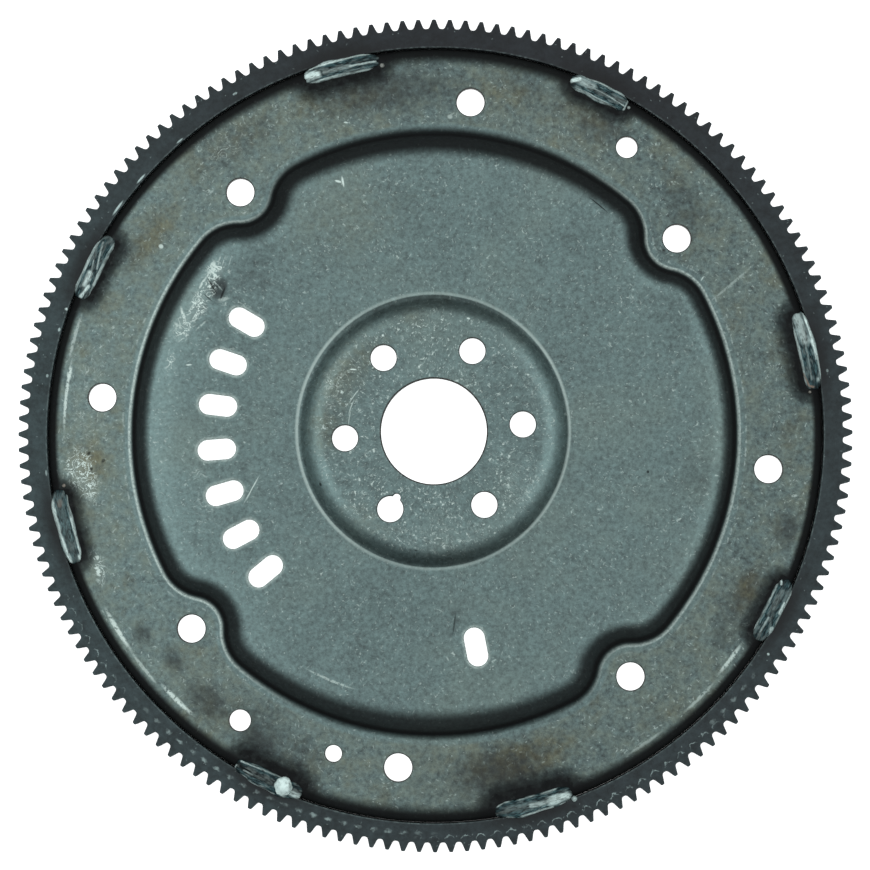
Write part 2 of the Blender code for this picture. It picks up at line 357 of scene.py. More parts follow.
def makeMarkGroup():
    # one soft-edged oval mark on the unrolled surface
    group, feed, end = newGroup("markPatch", {
        "Arc Place": None, "Centre": None, "Turn": None, "Reach": (1.0, 1.0, 100.0),
        "Soft": 0.4, "Strength": 1.0}, "Mask")
    local = put(group, "Mapping", {"Vector": feed["Arc Place"], "Location": feed["Centre"],
                                   "Rotation": feed["Turn"], "Scale": feed["Reach"]},
                vector_type="TEXTURE").outputs[0]
    away = vectorCalc("LENGTH", local).node.outputs["Value"]
    mask = falling(away, minus(1.0, feed["Soft"]), plus(1.0, feed["Soft"]))
    wire(end, {"Mask": times(mask, feed["Strength"])})
    return group


def makeFleckGroup():
    # scattered short dashes, each turned its own way; Share is how many of the cells hold one
    group, feed, end = newGroup("flecks", {
        "Place": None, "Spacing": 5.0, "Long": 1.0, "Wide": 0.3, "Share": 0.5, "Seed": 0.0}, "Mask")
    fullTurn = 6.283
    shifted = vectorCalc("ADD", feed["Place"], feed["Seed"])
    cells = vectorCalc("DIVIDE", vectorCalc("MULTIPLY", shifted, (1.0, 1.0, 0.0)), feed["Spacing"])
    scatter = put(group, "TexVoronoi", {"Vector": cells, "Scale": 1.0},
                  voronoi_dimensions="2D").outputs
    near = vectorCalc("SCALE", vectorCalc("SUBTRACT", cells, scatter["Position"]), feed["Spacing"])
    lots = split(scatter["Color"], "Color")
    turned = put(group, "VectorRotate", {"Vector": near, "Angle": times(lots[0], fullTurn)},
                 rotation_type="Z_AXIS").outputs[0]
    parts = split(turned, "XYZ")
    size = ranged(lots[1], 0.0, 1.0, 0.35, 1.0, smooth=False)
    away = hypot(calc("DIVIDE", parts[0], times(feed["Long"], size)),
                 calc("DIVIDE", parts[1], feed["Wide"]))
    chosen = calc("LESS_THAN", lots[2], feed["Share"])
    faint = ranged(lots[1], 0.0, 1.0, 1.0, 0.45, smooth=False)
    wire(end, {"Mask": times(falling(away, 0.35, 1.0), chosen, faint)})
    return group


def makeMottleGroup():
    # cloudy variation at three sizes, each about 0 with a reach of about 1
    group, feed, end = newGroup("mottle", {"Place": None, "Seed": 0.0}, "Broad", "Middle", "Fine")
    shifted = vectorCalc("ADD", feed["Place"], feed["Seed"])
    for name, scale, rough, low, high in (("Broad", 0.026, 0.55, 0.30, 0.70),
                                          ("Middle", 0.17, 0.62, 0.30, 0.70),
                                          ("Fine", 0.52, 0.78, 0.29, 0.71)):
        cloud = noiseOf(shifted, scale, 3.0, rough)
        wire(end, {name: ranged(cloud, low, high, -1.0, 1.0, smooth=False)})
    return group


def makeFringeGroup():
    # how near a point lies to the edge of a slot in a row of radial slots, 1 at the edge
    group, feed, end = newGroup("slotFringe", {
        "Turn": 0.0, "Radius": 0.0, "Middle": 0.0, "Pitch": 1.0, "Each Side": 0.0,
        "Circle": 93.7, "Half Straight": 3.85, "Half Width": 4.45, "Reach": 1.7}, "Mask")
    turn = calc("WRAP", minus(feed["Turn"], feed["Middle"]), math.pi, -math.pi)
    step = calc("ROUND", calc("DIVIDE", turn, feed["Pitch"]))
    step = calc("MINIMUM", most(step, times(feed["Each Side"], -1.0)), feed["Each Side"])
    arc = times(minus(turn, times(step, feed["Pitch"])), feed["Radius"])
    out = calc("ABSOLUTE", minus(feed["Radius"], feed["Circle"]))
    out = most(minus(out, feed["Half Straight"]), 0.0)
    away = minus(hypot(arc, out), feed["Half Width"])
    wire(end, {"Mask": falling(away, 0.3, feed["Reach"])})
    return group


def makeRaggedGroup():
    # the place pushed about by noise, so that drawn marks get a ragged edge
    group, feed, end = newGroup("ragged", {"Place": None, "Scale": 1.0, "Reach": 0.5},
                                "Ragged Place")
    cloud = noiseColour(noiseOf(feed["Place"], feed["Scale"], 3.0, 0.6))
    push = vectorCalc("SUBTRACT", cloud, (0.5, 0.5, 0.5))
    push = vectorCalc("SCALE", push, times(feed["Reach"], 2.0))
    wire(end, {"Ragged Place": vectorCalc("ADD", feed["Place"], push)})
    return group


unrolled = makePolarGroup()
slotFringe = makeFringeGroup()
markPatch = makeMarkGroup()
flecks = makeFleckGroup()
mottle = makeMottleGroup()
ragged = makeRaggedGroup()


def marksOf(place, marks):
    # the strongest of a list of crisp marks, worked out in the shader
    masks = []
    for angle, radius, halfArc, halfOut, turn, soft, strength in marks:
        arc = math.radians((angle + 180) % 360 - 180) * unrollRadius
        masks.append(useGroup(treeOf(place), markPatch, {
            "Arc Place": place, "Centre": (arc, radius, 0.0),
            "Turn": (0.0, 0.0, math.radians(turn)),
            "Reach": (halfArc * unrollRadius / radius, halfOut, 1000.0),
            "Soft": soft, "Strength": strength})["Mask"])
    return most(*masks)


def steelMaterial(name, roughness, metallic):
    material = bpy.data.materials.new(name)
    material.use_nodes = True
    shader = material.node_tree.nodes["Principled BSDF"]
    wire(shader, {"Roughness": roughness, "Metallic": metallic})
    return material, material.node_tree, shader


# the eight weld beads, which also blacken the plate and the ring: middle angle, length, how far
# the bead strays outwards, half width of its soot, darkness of its hollow
beadRows = (
    (12.4, 33.9, 0.1, 10.5, 0.45), (64.2, 27.0, -0.3, 9.5, 0.50), (104.3, 33.2, -0.5, 11.0, 0.75),
    (153.9, 30.0, -0.2, 9.8, 0.45), (194.2, 32.7, -0.3, 9.4, 0.45), (244.4, 31.0, 1.0, 10.5, 1.20),
    (285.0, 33.9, 0.3, 11.5, 0.70), (332.3, 28.8, -0.2, 9.4, 0.55),
)


def marked(groups):
    # whole marks from rows of angle, radius, half length along the arc, half width, strength
    # and turn, if it isn't 0, which stand under their softness
    return [(*row[:4], *(row[5:] or (0,)), soft, row[4])
            for soft, rows in groups.items() for row in rows]


# marks on the plate: soot, stains and scuffs are painted, the crisp rest is drawn by the shader
plateMarks = {
    "soot": [(row[0], 164.3, row[1] / 2 - 4.0, row[3], 0, 0.45, 1.0) for row in beadRows],
    "brown": marked({
        0.6: ((63.2, 152.5, 15, 4.5, 0.6),),
        0.7: ((189.5, 151, 7, 3.5, 0.5), (188, 153, 12, 5, 0.45), (333.5, 150.5, 10, 5, 0.9),
            (12, 154, 16, 4, 0.45)),
        0.8: ((144.5, 149.5, 17, 7, 0.75), (105, 149.5, 22, 8, 0.5), (124.3, 153.8, 30, 9, 0.45),
            (111, 153.5, 12, 6, 0.5), (184.5, 149.5, 10, 8, 0.9), (79, 150.5, 20, 9, 0.55),
            (285, 145, 24, 8, 0.95), (310.2, 156.6, 9, 4, 0.5), (178, 46, 12, 9, 0.5),
            (100, 49, 7, 5, 0.4), (235, 47, 15, 6, 0.3)),
        0.9: ((148, 45, 26, 9, 0.55), (112, 100, 30, 20, 0.34), (252, 148, 22, 8, 0.35),
            (168, 153, 8, 4, 0.2), (38, 150, 22, 9, 0.35)),
    }),
    "smudge": marked({
        0.5: ((146.2, 111.8, 5.4, 4.2, 1, -30),),
        0.6: ((214.6, 152.6, 5.5, 4.5, 0.62), (221.1, 148.8, 7.5, 4.5, 0.66, 10)),
        0.7: ((140.6, 98.2, 4, 3, 0.4), (203.8, 112.7, 3, 3, 0.5), (276.6, 81, 3, 7, 0.45, 20)),
        0.8: ((42.3, 146.4, 15, 8, 0.55, 20), (230, 151, 12, 8, 0.75), (240.1, 152, 12, 5, 0.9),
            (324.8, 152, 7, 5, 0.6), (344.7, 157.4, 9, 5, 0.75), (152, 114, 8, 3, 0.45),
            (75, 155, 16, 6, 0.4), (268, 139, 14, 6, 0.3), (280.5, 149, 22, 12, 0.78)),
        0.9: ((268, 150, 12, 8, 0.32), (247, 150, 12, 9, 0.55), (98, 150.5, 32, 11, 0.72),
            (239, 147, 16, 11, 0.6), (61, 151, 20, 9, 0.55), (331, 151, 18, 8, 0.6),
            (149.5, 154, 11, 6, 0.55), (124, 153, 22, 8, 0.45), (303, 153, 22, 8, 0.3),
            (137, 106, 16, 9, 0.42), (240, 108, 26, 9, 0.22), (262, 117, 46, 8, 0.26),
            (350, 114, 12, 12, 0.36), (20, 105, 10, 8, 0.25), (270, 76, 12, 12, 0.25),
            (306, 68, 22, 14, 0.14), (0, 152, 26, 10, 0.2)),
    }),
    "scuff": marked({
        0.5: ((143.6, 117, 4.5, 3.4, 1),),
        0.6: ((147.6, 114.8, 4, 3, 0.7, -20), (151.5, 115.4, 6.5, 3.2, 1, -10),
            (157.2, 117, 7, 3, 0.9)),
        0.7: ((165.5, 117.2, 5, 2.2, 0.6), (186, 154, 9, 5.5, 1)),
        0.8: ((188.5, 151.5, 6, 4.5, 0.85), (201.4, 156, 7, 3, 0.75), (190, 103, 5, 3, 0.4)),
        0.9: ((176, 150, 16, 9, 0.3), (170, 151, 14, 9, 0.25), (126.3, 153.5, 9, 5, 0.35),
            (330, 45, 12, 9, 0.3), (270, 46, 30, 8, 0.25), (20, 47, 16, 6, 0.25),
            (155, 47, 12, 5, 0.35), (198, 104, 14, 6, 0.25), (15, 108, 12, 10, 0.15)),
    }),
    "strip": marked({
        0.4: ((170.6, 160, 3, 0.9, 1), (165, 161.3, 9, 0.7, 0.5), (219, 161, 8, 0.7, 0.55),
            (315, 160.8, 8, 0.7, 0.45), (304, 161, 8, 0.7, 0.4), (247.2, 115.1, 10, 0.5, 0.55),
            (26.6, 143, 0.5, 12, 0.3, -14)),
        0.5: ((174, 160.1, 13, 0.65, 0.9), (211.9, 160.7, 9, 0.9, 1), (226.1, 159.6, 8, 0.9, 1),
            (322.5, 159.9, 7, 0.8, 0.8), (143.3, 118.7, 2.6, 1.1, 1, -23),
            (144.4, 118.7, 2.4, 0.6, 0.8, -3), (147.2, 118.7, 3.1, 0.45, 0.9, -1),
            (141.3, 118.6, 2, 0.3, 0.6, -19), (140.8, 116.9, 2, 0.25, 0.5, -16),
            (140.1, 114.6, 1.8, 0.25, 0.4, -18), (145.8, 112.9, 2.1, 0.4, 0.6, -75),
            (154.8, 119.4, 2.8, 0.7, 1, -37), (157.4, 119.3, 1.5, 0.8, 0.7, -68),
            (152.2, 117.2, 2.3, 0.35, 0.7, 9), (153.1, 113.3, 2.3, 0.4, 0.7, 24),
            (155.5, 114.9, 1.7, 0.4, 0.6, 32), (155.3, 110.3, 2.7, 0.35, 0.5, 17),
            (147.7, 107.3, 2.3, 1, 0.5, 28), (150.2, 116.5, 1.9, 0.4, 0.6)),
    }),
    "scratch": marked({
        0.3: ((156, 37.4, 3.4, 0.22, 0.6, 3), (163.5, 36.9, 3.2, 0.22, 0.6, 1),
            (171, 36.6, 3.2, 0.2, 0.5), (197, 81.5, 4.5, 0.25, 0.8, 28),
            (198, 83, 4.5, 0.22, 0.6, 32), (105.9, 140.3, 0.9, 0.35, 0.8, 20),
            (142.5, 43.5, 0.9, 0.5, 0.95, 20), (118, 46.5, 0.5, 0.5, 0.9),
            (73, 50.5, 0.7, 0.4, 0.9), (30, 133.5, 1, 0.3, 0.6, 60)),
        0.35: ((87.2, 137.5, 1.1, 0.9, 0.45), (145.6, 143.6, 0.9, 1, 0.8)),
        0.4: ((110, 115, 0.42, 2.2, 0.95, 12), (110.9, 115.8, 1.3, 0.5, 0.95, 28),
            (142.8, 117.6, 0.3, 2.4, 0.9, -12), (144.2, 117.2, 0.35, 2.6, 1, 10),
            (145.3, 116.4, 0.3, 2, 0.8, -20), (164.6, 109.4, 0.3, 1.3, 0.9, -25)),
    }),
    "gouge": marked({
        0.3: ((349.4, 93.1, 0.6, 0.6, 0.7),),
        0.4: ((54.2, 120.7, 4.8, 0.28, 0.8, 3), (146.5, 114.8, 2.8, 0.5, 0.6, -58),
            (146.7, 108.9, 2.5, 0.45, 0.65, -9), (149.2, 113.2, 1.9, 0.35, 0.5, -76),
            (183.3, 149.5, 0.6, 0.8, 0.6, -53), (184.7, 143.5, 0.6, 0.9, 0.6, -40),
            (185.9, 148.9, 0.6, 0.7, 0.6, -66), (205, 53.5, 0.8, 0.5, 0.8),
            (261.5, 51.5, 0.7, 0.3, 0.7)),
        0.5: ((276, 82.5, 0.3, 4.5, 0.5, 24),),
    }),
}

plateColours = {
    "steel": srgb(99, 120, 119),
    "olive": srgb(92, 98, 85),
    "brown": srgb(91, 92, 73),
    "soot": srgb(22, 27, 29),
    # bare metal, whose colour also paints the highlights at the feet of the web and hub
    "bare": srgb(196, 214, 208),
    "shade": srgb(9, 12, 14),
}

# the slots, whose edges are bright: middle angle of a row, slots at each side of the middle
slotRows = ((184.5, 3.0), (281.0, 0.0))
slotPitch = 11.67


def makePlateSteel(colours, marks):
    material, tree, shader = steelMaterial("plateSteel", 0.5, 0.45)
    where = useGroup(tree, unrolled)
    place, arcPlace, radius = where["Place"], where["Arc Place"], where["Radius"]
    rightward, upward = where["Rightward"], where["Upward"]
    sideways = times(rightward, rightward)
    inward = attributeOf(tree, "fromLobe")
    clouds = useGroup(tree, mottle, {"Place": place, "Seed": 3.0})
    broad, middle, fine = (clouds[name] for name in ("Broad", "Middle", "Fine"))
    torn = minus(noiseOf(place, 0.32, 4.0, 0.62), 0.5)

    def painted(name, raggedness, low, high):
        # a soft painted mask whose edge the noise makes ragged
        return ranged(plus(attributeOf(tree, name), times(torn, raggedness)), low, high)

    fringed = useGroup(tree, ragged, {
        "Place": arcPlace, "Scale": 1.4, "Reach": 0.5})["Ragged Place"]
    onFlange = falling(inward, -3.0, -1.0)
    onHub = falling(radius, 49.0, 54.0)
    leftward = falling(rightward, -1.0, 0.6)
    farLeft = falling(rightward, -1.0, -0.62)
    outer = ranged(radius, 90.0, 125.0)
    tilt = ranged(rightward, -1.0, 1.0, smooth=False)

    # base colour: cloudy steel, more olive and mottled out on the flange
    mottled = times(onFlange, plus(0.30, times(middle, 0.3)))
    olive = calc("ADD", times(broad, 0.22), mottled, clamp=True)
    colour = mixColour(olive, colours["steel"], colours["olive"])
    brown = times(painted("brown", 0.7, 0.05, 1.0), ranged(middle, -1.0, 0.8, 0.5, 1.0))
    blotch = ranged(noiseOf(place, 0.055, 4.0, 0.68), 0.50, 0.68, 0.0, 0.45)
    brown = most(brown, times(blotch, onFlange))
    colour = mixColour(brown, colour, colours["brown"])
    # painted highlight: the shoulders of the drawn walls of the web and hub are made brighter at the left and
    # right, where the side light glints; the plate is also made lighter towards the left
    crestHighlight = band(inward, 7.5, 10.5, 11.0, mixValue(tilt, 26.0, 14.0))
    hubCrestHighlight = band(radius, 46.0, 49.5, 52.5, 57.0)
    level = plus(
        1.0, times(fine, mixValue(onFlange, 0.40, 0.50)),
        times(middle, mixValue(onFlange, 0.20, 0.34)), times(broad, 0.14), times(onHub, 0.01),
        times(crestHighlight, sideways, 0.30), times(hubCrestHighlight, sideways, 0.62),
        times(leftward, outer, 0.14), times(leftward, 0.06), times(farLeft, outer, 0.13))
    colour = mixColour(1.0, colour, grey(level), "MULTIPLY")
    # dark pits and pale curls where the surface has been handled
    grit = split(noiseColour(noiseOf(place, 0.50, 5.0, 0.74, 0.5)), "Color")
    pits = ranged(grit[0], 0.31, 0.385, mixValue(onFlange, 0.22, 0.36), 0.0)
    colour = mixColour(pits, colour, colours["soot"])
    smudge = painted("smudge", 0.9, 0.08, 1.0)
    colour = mixColour(times(smudge, 0.8), colour, colours["soot"])

    # bare metal: flecks everywhere, scuffed areas, burnished strips and single scratches
    crowd = ranged(noiseOf(place, 0.06, 3.0, 0.6), 0.35, 0.7)
    scuff = painted("scuff", 0.9, 0.08, 1.0)
    curls = ranged(plus(grit[1], times(crowd, 0.045), times(onHub, 0.030)), 0.62, 0.72)
    dashes = useGroup(tree, flecks, {
        "Place": fringed, "Spacing": 3.3, "Long": 1.5, "Wide": 0.32, "Seed": 41.0,
        "Share": plus(times(crowd, 0.35), times(onHub, 0.10), 0.16)})["Mask"]
    swirl = calc("ABSOLUTE", minus(noiseOf(place, 0.26, 2.0, 0.55, 1.4), 0.5))
    streaks = calc("MULTIPLY", falling(swirl, 0.010, 0.036), times(scuff, 1.7), clamp=True)
    bare = most(times(curls, mixValue(onHub, 0.54, 0.86)),
                times(dashes, mixValue(onHub, 0.46, 0.85)))
    bare = times(bare, ranged(smudge, 0.0, 0.7, 1.0, 0.35))
    bare = plus(most(bare, times(streaks, 0.95)), times(scuff, 0.14))
    patchy = ranged(noiseOf(arcPlace, 0.7, 3.0, 0.6), 0.36, 0.48)
    strip = times(marksOf(fringed, marks["strip"]), patchy, 0.95)
    # painted highlights, strongest at the left and right where the side light falls: the stippled bright line
    # at the foot of the web, which is also burnished metal, a broken line just outside it, and the thin one at
    # the foot of the hub
    lean = minus(inward, times(tilt, 0.6))
    stipple = ranged(noiseOf(place, 0.9, 2.0), 0.3, 0.6, 0.45, 1.0)
    foot = times(band(lean, -0.7, 0.3, 0.8, 1.6), ranged(sideways, 0.10, 0.55, 0.0, 0.9), stipple)
    trailHighlight = times(band(lean, -3.2, -2.7, -2.5, -2.0), ranged(torn, 0.0, 0.14, 0.0, 0.4), sideways)
    sink = minus(mixValue(sideways, 59.1, 58.35), radius)
    sink = plus(sink, times(minus(upward, rightward), 0.55))
    hubFootHighlight = times(band(sink, -1.3, -0.2, 0.2, 0.8), ranged(sideways, 0.0, 0.8, 0.25, 0.48))
    slots = [useGroup(tree, slotFringe, {
        "Turn": where["Turn"], "Radius": radius, "Middle": math.radians(middleTurn),
        "Pitch": math.radians(slotPitch), "Each Side": eachSide})["Mask"]
        for middleTurn, eachSide in slotRows]
    fringe = times(most(*slots), ranged(torn, -0.15, 0.15, 0.20, 0.55))
    # the bare-metal colour also paints these highlights at the feet of the web and hub
    bare = most(bare, strip, marksOf(arcPlace, marks["scratch"]), foot, trailHighlight, hubFootHighlight, fringe)
    colour = mixColour(bare, colour, colours["bare"])

    # dark: soot round the beads, and painted shade on the drawn walls of the web and hub and in the groove at
    # the rim, wider and darker at the top and bottom than at the left and right
    soot = most(times(painted("soot", 0.55, 0.08, 0.95), 0.80),
                times(painted("soot", 0.35, 0.80, 1.02), 0.97))
    rise = times(upward, upward, upward)
    wall = band(lean, minus(mixValue(sideways, -1.6, 0.5), times(rise, 0.7)),
                minus(2.1, times(rise, 0.5)),
                mixValue(sideways, 8.0, mixValue(tilt, 6.6, 4.8)),
                mixValue(sideways, 14.2, mixValue(tilt, 10.8, 9.0)))
    # the painted shade is deepest just inside the foot of the web's wall and towards the top
    creaseShade = most(band(lean, 1.2, 2.4, 3.0, 4.6), ranged(upward, 0.3, 0.9, 0.0, 0.55))
    wall = times(wall, plus(0.87, times(creaseShade, 0.125)))
    # painted shade on the hub's wall and in the groove at the rim
    hubWall = times(band(sink, 0.2, 0.9, 3.0, 10.5), mixValue(sideways, 0.52, 0.02))
    rimStart = mixValue(ranged(sideways, 0.0, 0.7), 158.7, 162.0)
    groove = times(ranged(radius, rimStart, 164.4), 0.97)
    core = times(painted("soot", 0.12, 0.84, 1.0), 0.72)
    dark = most(wall, hubWall, groove, core, marksOf(arcPlace, marks["gouge"]))
    colour = mixColour(soot, colour, colours["soot"])
    colour = mixColour(dark, colour, colours["shade"])

    rough = minus(plus(0.50, times(middle, 0.06)), times(bare, 0.15))
    rough = calc("ADD", rough, times(most(dark, soot), 0.35), clamp=True)
    wire(shader, {"Base Color": colour, "Roughness": rough, "Normal": bumped(fine, 0.3, 0.00012)})
    return material


def makeCutEdge(name, dark, light, metallic):
    # the sheared wall of a punched hole
    material, tree, shader = steelMaterial(name, 0.5, metallic)
    grain = noiseOf(useGroup(tree, unrolled)["Place"], 1.2, 2.0, 0.6)
    wire(shader, {"Base Color": mixColour(ranged(grain, 0.35, 0.65), dark, light),
                  "Roughness": ranged(grain, 0.0, 1.0, 0.35, 0.6)})
    return material


ringFinish = {
    "teeth": toothCount,
    "dark": srgb(29, 34, 38),
    "pale": srgb(53, 67, 69),
    "bare": srgb(168, 190, 188),
    "soot": srgb(14, 17, 19),
    "lineArcs": [(292.0, 173.0, 64, 12, 0, 0.3, 0.55), (212.0, 173.0, 22, 12, 0, 0.3, 0.45)],
    "smearArcs": [(246.0, 172.0, 62, 12, 0, 0.3, 0.50), (318.0, 172.0, 14, 12, 0, 0.3, 0.3)],
    "nicks": marked({
        0.3: ((120.4, 171.2, 1, 0.5, 0.7), (161.3, 168.4, 0.6, 0.6, 0.9),
            (326.4, 171.9, 0.6, 0.6, 0.8), (9, 171.3, 0.7, 0.5, 0.7)),
        0.4: ((144.5, 168.7, 3.4, 0.45, 0.9), (139, 168.7, 2.4, 0.4, 0.9),
            (131, 168.5, 1.6, 0.35, 0.7), (164.5, 168.6, 0.8, 0.5, 0.8),
            (171.5, 169.4, 0.7, 0.5, 0.6), (185.8, 168.6, 1.2, 0.4, 0.6)),
    }),
    "burnt": [(row[0], 167.9, row[1] / 2 + 3.0, 4.6, 0, 0.7, 0.85) for row in beadRows],
}


def makeRingSteel(look):
    material, tree, shader = steelMaterial("ringSteel", 0.5, 0.5)
    where = useGroup(tree, unrolled)
    place, arcPlace, rightward = where["Place"], where["Arc Place"], where["Rightward"]
    clouds = useGroup(tree, mottle, {"Place": place, "Seed": 29.0})
    fine, middle = clouds["Fine"], clouds["Middle"]
    lean = minus(times(rightward, rightward), times(plus(where["Upward"], rightward), 0.5))
    colour = mixColour(ranged(lean, -0.5, 1.5, smooth=False), look["dark"], look["pale"])
    level = plus(1.0, times(fine, 0.30), times(middle, 0.30))
    colour = mixColour(1.0, colour, grey(level), "MULTIPLY")
    dots = useGroup(tree, flecks, {"Place": place, "Spacing": 3.4, "Long": 0.9, "Wide": 0.30,
                                   "Share": 0.16, "Seed": 7.0})["Mask"]
    worn = times(attributeOf(tree, "worn"),
                 ranged(noiseOf(place, 0.5, 3.0, 0.6), 0.40, 0.66, 0.15, 1.0))
    # the starter pinion's rub marks, one to a tooth, strongest low down
    phase = calc("FRACT", plus(times(where["Turn"], look["teeth"] / (2 * math.pi)), 0.5))
    nudge = noiseOf(place, 0.45, 2.0, 0.6)
    shift = split(noiseColour(nudge), "Color")
    across = plus(times(minus(phase, 0.5), 6.6), times(minus(shift[0], 0.5), 3.0))
    out = plus(where["Radius"], times(minus(shift[1], 0.5), 3.0))
    arch = minus(out, 172.9, times(across, across, 0.34))
    line = times(falling(calc("ABSOLUTE", arch), 0.10, 0.38),
                 falling(calc("ABSOLUTE", across), 1.6, 2.2))
    smear = falling(hypot(calc("DIVIDE", across, 1.9), minus(out, 171.9)), 0.3, 1.1)
    rubbed = most(times(line, marksOf(arcPlace, look["lineArcs"])),
                  times(smear, marksOf(arcPlace, look["smearArcs"])))
    rubbed = times(rubbed, ranged(nudge, 0.38, 0.55, 0.25, 1.0))
    bare = most(times(dots, 0.30), times(worn, 0.30), rubbed, marksOf(arcPlace, look["nicks"]))
    colour = mixColour(bare, colour, look["bare"])
    # heat from the beads leaves a dark margin on the ring
    fringed = useGroup(tree, ragged, {
        "Place": arcPlace, "Scale": 0.5, "Reach": 1.2})["Ragged Place"]
    burnt = marksOf(fringed, look["burnt"])
    wire(shader, {"Base Color": mixColour(burnt, colour, look["soot"]),
                  "Roughness": minus(0.52, times(bare, 0.2)), "Normal": bumped(fine, 0.2, 0.0001)})
    return material


weldColours = {
    "dark": srgb(16, 30, 34),
    "pale": srgb(66, 98, 102),
    "burnt": srgb(6, 9, 11),
    # the colour of the painted highlights
    "bright": srgb(226, 248, 244),
    "warm": srgb(146, 130, 117),
}


def makeWeldMetal(colours):
    material, tree, shader = steelMaterial("weldMetal", 0.4, 0.3)
    shine, burnt, warm, along, out = (
        attributeOf(tree, name) for name in ("shine", "burnt", "warm", "beadAlong", "beadOut"))
    place = useGroup(tree, unrolled)["Place"]
    fine = useGroup(tree, mottle, {"Place": place, "Seed": 53.0})["Fine"]
    # lines drawn out along the bead
    drawn = put(tree, "CombineXYZ", {0: times(along, 0.30), 1: times(out, 1.5)}).outputs[0]
    streak = noiseOf(drawn, 1.0, 4.0, 0.66, 0.7)
    colour = mixColour(ranged(streak, 0.36, 0.64), colours["dark"], colours["pale"])
    # burnt: darkened weld metal, which on the beads also carries the painted shadow line along their flanks
    colour = mixColour(burnt, colour, colours["burnt"])
    # painted highlights: the shine strokes and the glints in the streaks
    lit = times(calc("POWER", shine, 1.2), ranged(streak, 0.34, 0.54, 0.42, 1.0))
    glint = times(ranged(streak, 0.56, 0.70, 0.0, 0.22), minus(1.0, burnt))
    colour = mixColour(most(lit, ranged(shine, 1.0, 1.25), glint), colour, colours["bright"])
    wire(shader, {"Base Color": mixColour(warm, colour, colours["warm"]),
                  "Roughness": ranged(fine, -1.0, 1.0, 0.32, 0.50),
                  "Specular IOR Level": 0.15, "Normal": bumped(fine, 0.3, 0.00012)})
    return material


plateSteel = makePlateSteel(plateColours, plateMarks)
shearedEdge = makeCutEdge("shearedEdge", srgb(48, 48, 46), srgb(84, 84, 80), 0.5)
burrEdge = makeCutEdge("burrEdge", srgb(132, 148, 144), srgb(186, 200, 196), 0.1)
ringSteel = makeRingSteel(ringFinish)
weldMetal = makeWeldMetal(weldColours)
print("materials laid out")


# the stamped plate: skirt, flange, lobed web and crank hub drawn from one sheet
plateLook = {
    "thickness": 3.0 * mm,
    "skirtRadius": 167.2 * mm,
    "skirtLift": 0.8 * mm,
    "bendRadius": 4.0 * mm,
    "bendSteps": 8,
    "flangeRadius": 163.2 * mm,
    "faceHeight": 10.0 * mm,
    "flangeSteps": 15,
    "webRadius": 132.2 * mm,
    "earCircle": 134.3 * mm,
    "earRadius": 12.4 * mm,
    "earAngle": 38.8,
    "cornerRadius": 21.7 * mm,
    "cornerSteps": 14,
    "earSteps": 18,
    "longSteps": 54,
    "webRise": 8.5 * mm,
    "webWall": {"angle": 60.0, "foot": 2.6 * mm, "shoulder": 6.0 * mm, "steps": (5, 3, 10)},
    "webSteps": 26,
    "hubRadius": 58.4 * mm,
    "hubRise": 6.5 * mm,
    "hubWall": {"angle": 55.0, "foot": 2.0 * mm, "shoulder": 5.0 * mm, "steps": (4, 2, 8)},
    "hubSteps": 10,
    "blankBore": 21.0 * mm,
    "smoothAngle": 32,
}


def lobeOutline(look, inset):
    reach = look["webRadius"] - look["cornerRadius"]
    touch = look["earRadius"] + look["cornerRadius"]
    bolt = look["earCircle"]
    half = math.degrees(math.acos((bolt**2 + reach**2 - touch**2) / (2 * bolt * reach)))
    across = reach * math.sin(math.radians(half))
    lean = math.degrees(math.atan2(across, bolt - reach * math.cos(math.radians(half))))
    corner = look["cornerRadius"] - inset
    points = []

    def arc(centre, radius, start, end, steps):
        for i in range(steps):
            points.append(centre + polarPoint(radius, start + (end - start) * i / steps))

    for quarter in range(4):
        middle = look["earAngle"] + 90 * quarter
        before, after = (polarPoint(reach, middle + side * half) for side in (-1, 1))
        arc(before, corner, middle - half, middle + lean, look["cornerSteps"])
        arc(polarPoint(bolt, middle), look["earRadius"] + inset,
            middle + 180 + lean, middle + 180 - lean, look["earSteps"])
        arc(after, corner, middle - lean, middle + half, look["cornerSteps"])
        arc(Vector(), look["webRadius"] - inset, middle + half, middle + 90 - half,
            look["longSteps"])
    return np.array([(point.x, point.y) for point in points])


def drawnWall(rise, wall):
    slope = math.radians(wall["angle"])
    footSteps, wallSteps, shoulderSteps = wall["steps"]
    foot, shoulder = wall["foot"], wall["shoulder"]
    points = []
    for i in range(footSteps + 1):
        turn = slope * i / footSteps
        points.append((foot * math.sin(turn), foot * (1 - math.cos(turn))))
    low = points[-1]
    drop = shoulder * (1 - math.cos(slope))
    straight = (rise - low[1] - drop) / math.tan(slope)
    for i in range(1, wallSteps):
        share = i / wallSteps
        points.append((low[0] + straight * share, low[1] + (rise - low[1] - drop) * share))
    total = low[0] + straight + shoulder * math.sin(slope)
    for i in range(shoulderSteps + 1):
        left = slope * (1 - i / shoulderSteps)
        points.append((total - shoulder * math.sin(left), rise - shoulder * (1 - math.cos(left))))
    return points


